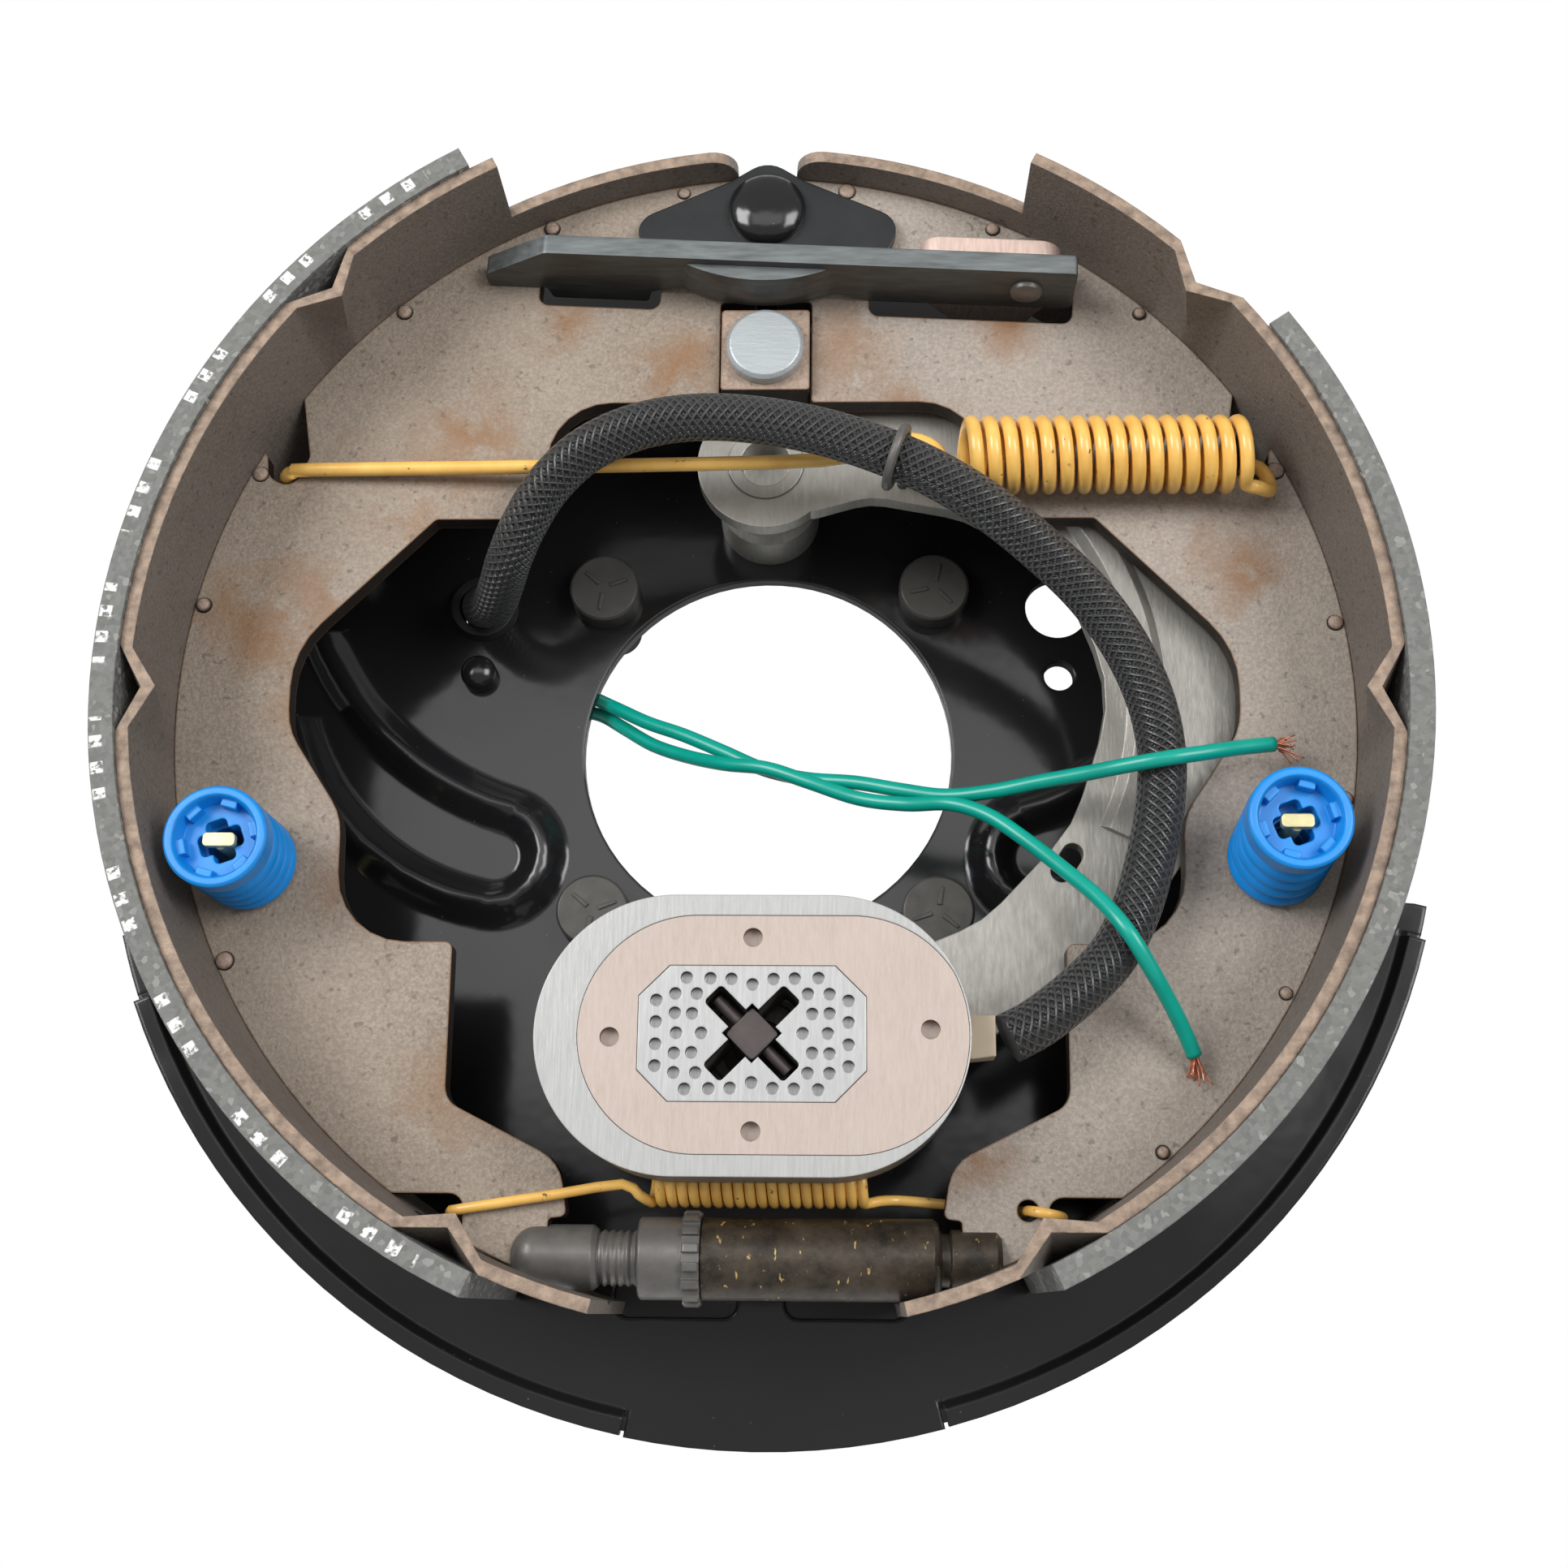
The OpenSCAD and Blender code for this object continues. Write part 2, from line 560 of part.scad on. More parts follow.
// A lining between two angles, with its ends bevelled by the grinding of its edges
module lining(a) {
    r0 = table_r + table_t + 0.05;
    z0 = web_mid - lining_w / 2;
    translate([-shoe_inset, 0, 0]) difference() {
        ring_sector(r0, r0 + lining_t, z0, z0 + lining_w, a[1], a[0]);
        for (k = [0, 1]) rotate([0, 0, a[k]]) translate([r0 + 2, 0, z0 - 1])
            rotate([0, 0, k == 0 ? 50 : -140]) cube([10, 10, lining_w + 2]);
    }
}

module primary_web() {
    color([0.58, 0.52, 0.46]) web(true) strut_slot(22, 65, -strut_t / 2 - 3.4, park_y + park_t / 2 + 1);
}

module primary_table() {
    color([0.42, 0.37, 0.33]) table();
}

module primary_lining() {
    color([0.4, 0.4, 0.38]) lining(primary_lining_a);
}

module secondary_web() {
    color([0.58, 0.52, 0.46]) mirror([1, 0, 0]) web(false) mirror([1, 0, 0]) strut_slot(-48.5, -22.5, -strut_t / 2 - 4, strut_t / 2 + 1.2);
}

module secondary_table() {
    color([0.42, 0.37, 0.33]) mirror([1, 0, 0]) table();
}

module secondary_lining() {
    color([0.4, 0.4, 0.38]) mirror([1, 0, 0]) lining(secondary_lining_a);
}

// Puts a piece turned round Z onto the adjuster's axis, with its Z along +X
module on_adjuster() {
    translate([0, -adjuster_y, web_mid]) rotate([0, 90, 0]) children();
}

// The slot across a cap's end that the web's end sits in
module web_slot(x) {
    translate([min(x, x * 2), -adjuster_y - 20, web_back - seat_gap])
        cube([abs(x), 40, web_t + 2 * seat_gap]);
}

module adjuster_sleeve() {
    color([0.25, 0.2, 0.16]) difference() {
        on_adjuster() rotate_extrude()
            polygon([[screw_r + 1.2, -wheel_x1 + seat_gap], [sleeve_r, -wheel_x1 + seat_gap],
                [sleeve_r, sleeve_x - 1], [sleeve_r - 0.8, sleeve_x],
                [cap_r - 1.2, sleeve_x + 0.6], [cap_r - 1.2, sleeve_x + 2], [cap_r - 0.4, sleeve_x + 2.4],
                [cap_r - 0.4, cap_reach - 1], [cap_r - 1.4, cap_reach], [0, cap_reach],
                [0, sleeve_x - 4], [screw_r + 1.2, sleeve_x - 8]]);
        web_slot(slot_reach);
    }
}

module star_wheel() {
    color([0.4, 0.39, 0.38]) difference() {
        on_adjuster() rotate_extrude()
            polygon([[screw_r + bore_gap, -collar_x], [sleeve_r - 0.4, -collar_x],
                [sleeve_r, -collar_x + 0.4], [sleeve_r, -wheel_x0], [star_r - 0.4, -wheel_x0],
                [star_r, -wheel_x0 + 0.4], [star_r, -wheel_x1 - 0.4], [star_r - 0.4, -wheel_x1],
                [screw_r + 1.2 - bore_gap, -wheel_x1], [screw_r + 1.2 - bore_gap, 4],
                [screw_r + bore_gap, 4]]);
        for (i = [0:star_notches - 1]) on_adjuster() rotate([0, 0, 360 * i / star_notches])
            translate([sleeve_r + 0.3, -0.9, -wheel_x0 - 1]) cube([5, 1.8, wheel_x0 - wheel_x1 + 2]);
    }
}

module adjuster_screw() {
    neck = screw_r - 0.5;
    color([0.38, 0.37, 0.36]) difference() {
        on_adjuster() rotate_extrude()
            polygon(concat([[0, 2], [0, -cap_reach]],
                [for (i = [1:6]) [cap_r * sin(15 * i), -cap_reach + 5 * (1 - cos(15 * i))]],
                [[cap_r, -screw_neck - 1], [cap_r - 0.8, -screw_neck], [neck, -screw_neck]],
                [for (x = [screw_neck - 0.4:-screw_pitch:-0.4]) each [[neck, -x], [screw_r, -x + screw_pitch / 2]]],
                [[neck, 1.6], [neck, 2]]));
        web_slot(-slot_reach);
    }
}

module upper_spring() {
    r = (upper_d - upper_wire) / 2;
    z = web_z + upper_d / 2 + slide_gap;
    leg = web_z + upper_wire / 2 + slide_gap;
    color([0.88, 0.66, 0.25]) sweep(concat(
        [[-100.6, 49.6, 31], [-100.6, 49.4, 35], [-99.8, 49.3, 38.8], [-97.6, 49.4, leg],
            [-94, 49.6, leg + 0.4], [-57, 49, leg + 2.4], [-12, 48.6, leg + 4.6],
            [12, 49, leg + 5.4], [20, 50.6, leg + 5.6], [26, 52.6, z - 0.6], [29, 53, z - 0.2],
            [32, 52.6, z], [35, 50.8, z], [37.6, 46.8, z]],
        coil(40, 97, 49.4, z, r, upper_turns, 12, 180),
        [[99.6, 42.4, z - 0.6], [102.2, 42.8, z - 3], [103.2, 44.6, z - 5.2], [102.4, 48, leg + 0.5],
            [101, 51, 38.6], [100.2, 51.6, 34], [100, 51.6, 31]]),
        upper_wire / 2, 6, [0, 1, 0]);
}

module lower_spring() {
    r = (lower_d - lower_wire) / 2;
    front = web_z + lower_wire / 2 + slide_gap;
    back = web_back - lower_wire / 2 - slide_gap;
    y = lower_spring_y;
    color([0.86, 0.66, 0.2]) sweep(concat(
        [[-57.6, -100.6, web_mid - 5], [-57.4, -100.4, web_mid - 1], [-56.4, -100.2, web_z - 0.2],
            [-54.4, -99.9, front], [-36, -97, front], [-24.6, -95.2, front], [-21.6, -97, front - 0.6]],
        coil(-19.4, 20.4, y, web_mid, r, lower_turns, 10, 180),
        [[23, y - r + 0.6, web_mid - 1.4], [26, -97.4, back + 0.2], [30, -97.6, back], [45, -98.8, back],
            [49, -99.2, back + 0.4], [50.4, -99.4, web_mid - 1], [50.8, -99.4, web_z - 0.6],
            [52.4, -99.7, front], [54.6, -100.1, front], [56.6, -100.4, web_z - 0.4],
            [57.4, -100.5, web_mid - 1]]),
        lower_wire / 2, 6, [0, 1, 0]);
}
lower_spring_y = star_r + lower_d / 2 + slide_gap - adjuster_y;

// A hold-down pin with its head behind the plate and a flattened cross head in front
module hold_pin(x, lean) {
    top = web_z + retainer_h - 4;
    tilt = atan(lean / top);
    color([0.85, 0.8, 0.55]) translate([x, hold_y, 0]) rotate([-tilt, 0, 0]) {
        translate([0, 0, -1.4]) cylinder(r = 4, h = 1.4 - 0.3);
        translate([0, 0, -1]) cylinder(r = hold_pin_r, h = top + 1, $fn = 24);
        translate([0, 0, top]) linear_extrude(1.6) slot_2d(6, 2.6, 0.8);
    }
}

module left_hold_pin() {
    hold_pin(-hold_x, 0);
}

module right_hold_pin() {
    hold_pin(hold_x, right_lean);
}

// Moulded bellows: four rings, then a cup whose floor has a cross-shaped opening
module retainer(x, lean) {
    base = web_z + seat_gap;
    rings = 4;
    cup_h = 7;
    step = (retainer_h - cup_h) / rings;
    neck = retainer_r - 1.7;
    cup_z = base + retainer_h - cup_h;
    color([0.05, 0.45, 0.85]) difference() {
        union() {
            for (i = [0:rings - 1])
                translate([x, hold_y + lean * (0.35 + 0.65 * i / rings), base + i * step]) rotate_extrude()
                    polygon(concat([[3.6, 0], [neck, 0]],
                        [for (k = [1:5]) [neck + 1.6 * sin(30 * k), step * k / 6]],
                        [[neck, step], [3.6, step]]));
            translate([x, hold_y + lean, cup_z]) rotate_extrude()
                polygon([[0, 0], [neck, 0], [retainer_r - 0.5, 1.2], [retainer_r, 2.4], [retainer_r, cup_h - 0.5],
                    [retainer_r - 0.5, cup_h], [retainer_r - 1.6, cup_h], [retainer_r - 2, cup_h - 0.4],
                    [retainer_r - 2.6, 3], [0, 3]]);
            for (a = [0:60:300]) translate([x, hold_y + lean, cup_z + 3]) rotate([0, 0, a + 15])
                translate([retainer_r - 3.6, -1.5, 0]) cube([2, 3, 2.6]);
        }
        translate([x, hold_y + lean, cup_z - 1]) for (a = [20, 110]) rotate([0, 0, a])
            linear_extrude(5) slot_2d(8.4, 4.2, 1);
    }
}

module left_retainer() {
    retainer(-hold_x, 0);
}

module right_retainer() {
    retainer(hold_x, right_lean);
}

// Outline of the lever arm, from the pivot eye round to the magnet's post
function arm_corners() = [[-9, 67, 3], [-9, 87.2, 3], [13, 87.2, 8], [38, 76, 20], [74, 54, 30],
    [97.5, 22, 30], [96.4, -8, 30], [80, -38, 34], [46, -66, 30], [14, -84, 12], [-13.5, -83, 13],
    [-13.5, -57, 12], [14, -56, 10], [44, -43.6, 24], [62.4, -24, 30], [71.5, 4, 30],
    [62, 30, 26], [42, 43.6, 20], [22, 47.4, 14], [9, 43.6, 3]];

module lever_arm() {
    color([0.62, 0.61, 0.58]) difference() {
        union() {
            translate([0, 0, arm_z - arm_t]) linear_extrude(arm_t) polygon(rounded(arm_corners()));
            translate([0, pivot_y, arm_z - arm_t]) cylinder(r = arm_eye_r, h = arm_t);
            // Stiffening rib along the arm's middle
            translate([10, 4, 0]) rotate([0, 0, -26]) rotate_extrude(angle = 70, $fn = 96)
                polygon([[68 - 4, arm_z - 1], [68 + 4, arm_z - 1], [68 + 4, arm_z],
                    [68 + 2, arm_z + arm_bead_h], [68 - 2, arm_z + arm_bead_h], [68 - 4, arm_z]]);
        }
        translate([0, pivot_y, arm_z - arm_t - 1]) cylinder(r = pivot_r + bore_gap, h = arm_t + 2);
        translate([60.8, -31.6, arm_z - arm_t - 1]) rotate([0, 0, 57])
            linear_extrude(arm_t + 2) slot_2d(8.6, 4.4, 2.15);
        translate([0, -magnet_y, arm_z - arm_t - 1]) cylinder(r = 3 + bore_gap, h = arm_t + 2);
        translate([0, block_y, arm_z - arm_t - 1]) cylinder(r = 4 + bore_gap, h = arm_t + 2);
        translate([clip_foot[0], clip_foot[1], arm_z - arm_t - 1])
            cylinder(r = clip_wire + bore_gap, h = arm_t + 2, $fn = 24);
    }
}
arm_bead_h = 1.6;

module cam_block() {
    color([0.4, 0.35, 0.31]) difference() {
        translate([0, block_y, arm_z]) linear_extrude(block_h) slot_2d(block_w, block_w, 0.8);
        translate([0, block_y, arm_z - 1]) cylinder(r = 4 + bore_gap, h = block_h + 2);
    }
}

module cam_rivet() {
    top = arm_z + block_h;
    color([0.78, 0.8, 0.8]) translate([0, block_y, 0]) rotate_extrude()
        polygon([[0, arm_z - arm_t - 2.2], [5.4, arm_z - arm_t - 2.2], [6.4, arm_z - arm_t - 1.2],
            [6.4, arm_z - arm_t], [4, arm_z - arm_t], [4, top], [rivet_r, top], [rivet_r, top + 2.2],
            [rivet_r - 0.8, top + 3], [0, top + 3.2]]);
}

module magnet_post() {
    color([0.35, 0.34, 0.33]) translate([0, -magnet_y, 0]) {
        rotate_extrude()
            polygon([[0, arm_z - arm_t - 2], [6, arm_z - arm_t - 2], [6, arm_z - arm_t],
                [3, arm_z - arm_t], [3, arm_z], [6.5, arm_z], [6.5, arm_z + 2], [0, arm_z + 2]]);
        rotate([0, 0, 45]) translate([0, 0, arm_z + 1]) linear_extrude(magnet_z - 1 - arm_z - 1)
            slot_2d(post_w, post_w, 0.6);
    }
}

// Wire clip that crosses the post and holds the magnet on it
module magnet_clip() {
    color([0.7, 0.72, 0.73]) translate([0, -magnet_y, magnet_z - 3.2]) rotate([0, 0, -45])
        for (s = [-1, 1]) translate([s * (post_w / 2 + 3), 0, 0]) rotate([0, 90, 0])
            translate([0, 0, -2.9]) cylinder(r = 1.1, h = 5.8, $fn = 24);
}

// Conical spring between the arm and the magnet
module magnet_spring() {
    wire = 1.6;
    z0 = arm_z + wire / 2 + 0.1;
    z1 = magnet_back - wire / 2 - 0.1;
    turns = 4;
    color([0.6, 0.6, 0.6]) sweep([for (i = [0:turns * 14]) let (s = i / (turns * 14), a = 360 * turns * s)
        [0, -magnet_y, 0] + polar(13 - 4 * s, a, z0 + (z1 - z0) * s)], wire / 2, 6);
}

// The magnet's long round-ended outline
module magnet_oval(l, w) {
    intersection() {
        union() {
            square([l - w, w], center = true);
            for (s = [-1, 1]) translate([s * (l - w) / 2, 0]) circle(d = w, $fn = 96);
        }
        square([l, w], center = true);
    }
}

// The friction face's outline: shorter, and set over to the lead side
module face_oval() {
    intersection() {
        magnet_oval(magnet_l - 0.6, magnet_w - 0.6);
        translate([face_shift, 0]) magnet_oval(magnet_l - 7.6, magnet_w - 7.6);
    }
}
face_shift = 4;
face_t = 3;

// The pole plate's outline, a rectangle with its corners cut
module pole_shape(grow) {
    l = pole_l / 2 + grow;
    w = pole_w / 2 + grow;
    c = 5.6;
    polygon([[l, w - c], [l - c, w], [c - l, w], [-l, w - c], [-l, c - w], [c - l, -w], [l - c, -w], [l, c - w]]);
}

// The cross-shaped hole that the post passes through
module cross_hole() {
    for (a = [45, 135]) rotate(a) polygon(rounded([[10.2, 2.2, 0.8], [-10.2, 2.2, 0.8],
        [-10.2, -2.2, 0.8], [10.2, -2.2, 0.8]]));
    rotate(45) square(post_w + 0.8, center = true);
}

module magnet_case() {
    color([0.78, 0.79, 0.77]) translate([0, -magnet_y, 0]) difference() {
        translate([0, 0, magnet_back]) linear_extrude(magnet_t) magnet_oval(magnet_l, magnet_w);
        translate([0, 0, magnet_z - face_t]) linear_extrude(face_t + 1) face_oval();
        translate([0, 0, magnet_back + 2]) linear_extrude(magnet_t) difference() {
            magnet_oval(magnet_l - 16, magnet_w - 12);
            square([30, 22], center = true);
        }
        translate([0, 0, magnet_back - 1]) linear_extrude(magnet_t + 2) cross_hole();
    }
}

module magnet_coil() {
    color([0.6, 0.32, 0.2]) translate([0, -magnet_y, magnet_back + 2.2])
        linear_extrude(magnet_t - face_t - 2.6) difference() {
            magnet_oval(magnet_l - 16.6, magnet_w - 12.6);
            square([30.6, 22.6], center = true);
        }
}

module magnet_face() {
    color([0.8, 0.72, 0.67]) translate([0, -magnet_y, 0]) difference() {
        translate([0, 0, magnet_z - face_t + 0.05]) linear_extrude(face_t - 0.05) intersection() {
            magnet_oval(magnet_l - 0.8, magnet_w - 0.8);
            translate([face_shift, 0]) magnet_oval(magnet_l - 7.8, magnet_w - 7.8);
        }
        translate([0, 0, magnet_z - face_t - 1]) linear_extrude(face_t + 2) pole_shape(0.1);
        for (p = [[0, 17.4], [0, -17.4], [-25.6, -0.8], [32, 0.8]])
            translate([p[0], p[1], magnet_z - 2]) cylinder(r = 1.75, h = 3, $fn = 24);
    }
}

// Places of the pole plate's small holes in one quarter; the rest mirror them
pole_holes = [[17.3, 5.9], [17.3, 2], [13.9, 7.1], [13.9, 3.6], [10, 7.1], [10.8, 3.5],
    [11.9, 10], [7.6, 9.9], [3.8, 9.8]];
pole_axis_holes = [[13.6, 0], [9.1, 0]];

module pole_hole(p) {
    translate([p[0], p[1], magnet_z - 1.4]) cylinder(r = 1.1, h = 2, $fn = 16);
}

module pole_plate() {
    color([0.82, 0.83, 0.83]) translate([0, -magnet_y, 0]) difference() {
        translate([0, 0, magnet_z - face_t + 0.05]) linear_extrude(face_t - 0.05) pole_shape(0);
        translate([0, 0, magnet_z - face_t - 1]) linear_extrude(face_t + 2) cross_hole();
        for (p = pole_holes, sx = [-1, 1], sy = [-1, 1]) pole_hole([sx * p[0], sy * p[1]]);
        for (p = pole_axis_holes, sx = [-1, 1]) pole_hole([sx * p[0], 0]);
        for (sy = [-1, 1]) pole_hole([0, sy * 8.8]);
    }
}

// Tape wound round the leads where they leave the magnet
module lead_tape() {
    color([0.7, 0.62, 0.52]) hull() {
        translate([magnet_l / 2 + 0.05, -magnet_y - 3.5, 48]) cube([0.5, 8, 5]);
        translate([magnet_l / 2 + 4.2, -magnet_y - 3, 47.5]) cube([0.6, 7.4, 6]);
    }
}

clip_wire = 1;
clip_x = 26.8;
clip_y = 44.5;
clip_z = 56.85;
clip_half = conduit_d / 2 + clip_wire + 0.3;
clip_turn = 70;
clip_foot = [clip_x + clip_half * cos(clip_turn), clip_y + clip_half * sin(clip_turn)];

// Wire clip that stands on the arm and is bent round the conduit
module conduit_clip() {
    color([0.5, 0.5, 0.5]) sweep(concat(
        [[clip_foot[0], clip_foot[1], arm_z - arm_t]],
        [for (a = [0:20:260]) [clip_x, clip_y, clip_z] + clip_half * [cos(a) * cos(clip_turn),
            cos(a) * sin(clip_turn), sin(a)]]), clip_wire, 8, [1, 0, 0]);
}

// The strut in its own frame: a bar on edge with a tapered end and a foot in the left web's slot
module park_strut() {
    bottom = web_z + slide_gap;
    bow = 3.6;
    bow_w = 32;
    bow_r = (bow_w * bow_w / 4 + bow * bow) / (2 * bow);
    color([0.14, 0.15, 0.15]) in_strut_frame() difference() {
        union() {
            translate([0, strut_t / 2, 0]) rotate([90, 0, 0]) linear_extrude(strut_t)
                polygon(rounded([[-59.5, bottom, 1], [-59.5, 43.6, 1.5], [-45.6, strut_z, 2],
                    [64.6, strut_z, 1], [64.6, bottom, 1.5], [22, bottom, 0], [16, bottom + 2, 1],
                    [-20, bottom + 2, 1], [-24.5, bottom, 0], [-25.5, web_back + 1, 1],
                    [-46, web_back + 1, 1], [-47, bottom, 0]]));
            intersection() {
                translate([-1.5, bow_r - strut_t / 2 - bow, 45]) sphere(r = bow_r, $fn = 96);
                translate([-20, -strut_t / 2 - bow, bottom + 2]) cube([37, bow + 1, strut_z - bottom - 4]);
            }
        }
        // The bow is pressed from behind
        intersection() {
            translate([-1.5, bow_r - strut_t / 2 - bow + strut_t, 45]) sphere(r = bow_r, $fn = 96);
            translate([-20, strut_t / 2 - bow - 1, bottom + 1]) cube([37, bow + 2, strut_z - bottom - 2]);
        }
        translate([park_pin_x, 10, park_pin_z]) rotate([90, 0, 0]) cylinder(r = park_pin_r + bore_gap, h = 20);
    }
}

// The lever's middle, behind the strut
park_y = strut_t / 2 + slide_gap + park_t / 2;
park_x = 49;

module park_pin() {
    back = park_y + park_t / 2;
    color([0.45, 0.44, 0.42]) in_strut_frame() translate([park_pin_x, back + 1.4, park_pin_z])
        rotate([90, 0, 0]) rotate_extrude($fn = 48)
            polygon([[0, 0], [4, 0], [4, 1.2], [park_pin_r, 1.2], [park_pin_r, back + 1.4 + strut_t / 2],
                [park_pin_r + 0.5, back + 1.4 + strut_t / 2], [park_pin_r + 0.2, back + strut_t / 2 + 2.4],
                [0, back + strut_t / 2 + 2.8]]);
}

module park_lever() {
    color([0.55, 0.44, 0.4]) in_strut_frame() difference() {
        translate([0, park_y + park_t / 2, 0]) rotate([90, 0, 0]) linear_extrude(park_t)
            polygon(rounded([[31.5, 44, 3], [33, 51.2, 4], [60.5, 51.2, 5], [63.2, 40.5, 4], [60.4, 33, 3],
                [56.5, 26, 8], [55, 4, 3], [55, -18, 5], [43, -18, 5], [43, 4, 3], [41, 24, 6],
                [34, 32, 4]]));
        translate([park_pin_x, 20, park_pin_z]) rotate([90, 0, 0]) cylinder(r = park_pin_r + bore_gap, h = 30);
        translate([park_x, 20, -12]) rotate([90, 0, 0]) cylinder(r = 2.6, h = 30, $fn = 32);
    }
}

backing_plate();
mounting_studs();
slot_plugs();
anchor_post();
guide_plate();
pivot_post();
stop_pin();
conduit_grommet();
conduit();
lead_upper();
lead_lower();
lead_ends();
secondary_web();
secondary_table();
secondary_lining();
primary_web();
primary_table();
primary_lining();
adjuster_sleeve();
star_wheel();
adjuster_screw();
upper_spring();
lower_spring();
left_hold_pin();
right_hold_pin();
left_retainer();
right_retainer();
lever_arm();
cam_block();
cam_rivet();
magnet_post();
magnet_clip();
magnet_spring();
magnet_case();
magnet_coil();
magnet_face();
pole_plate();
lead_tape();
conduit_clip();
park_strut();
park_pin();
park_lever();
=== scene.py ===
"""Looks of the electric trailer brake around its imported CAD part."""

import math
import random

import bpy
import numpy as np
from mathutils import Matrix, Vector


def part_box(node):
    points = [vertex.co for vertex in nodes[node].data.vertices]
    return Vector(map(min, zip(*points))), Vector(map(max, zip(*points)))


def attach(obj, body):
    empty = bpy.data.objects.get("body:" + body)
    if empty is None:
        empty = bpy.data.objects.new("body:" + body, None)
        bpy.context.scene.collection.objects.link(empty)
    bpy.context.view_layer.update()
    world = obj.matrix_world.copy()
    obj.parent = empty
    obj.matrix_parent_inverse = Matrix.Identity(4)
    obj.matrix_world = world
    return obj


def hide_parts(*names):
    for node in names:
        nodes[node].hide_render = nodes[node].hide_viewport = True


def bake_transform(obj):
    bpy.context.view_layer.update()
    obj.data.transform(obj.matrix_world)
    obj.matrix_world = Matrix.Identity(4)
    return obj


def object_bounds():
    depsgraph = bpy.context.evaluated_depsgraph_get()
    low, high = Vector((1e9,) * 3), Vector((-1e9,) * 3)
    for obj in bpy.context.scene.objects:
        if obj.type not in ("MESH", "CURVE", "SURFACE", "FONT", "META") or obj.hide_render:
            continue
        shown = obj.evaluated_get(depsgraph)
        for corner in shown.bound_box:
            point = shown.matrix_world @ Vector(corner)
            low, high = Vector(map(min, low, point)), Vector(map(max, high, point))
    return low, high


MM = 0.001
BEVEL_SAMPLES = 6

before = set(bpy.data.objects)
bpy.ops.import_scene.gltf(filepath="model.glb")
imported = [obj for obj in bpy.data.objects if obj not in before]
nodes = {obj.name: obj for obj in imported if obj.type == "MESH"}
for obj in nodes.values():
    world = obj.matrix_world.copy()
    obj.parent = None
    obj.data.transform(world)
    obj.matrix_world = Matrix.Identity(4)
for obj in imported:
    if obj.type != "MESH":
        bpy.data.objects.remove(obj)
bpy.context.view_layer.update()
random.seed(7)

# materials


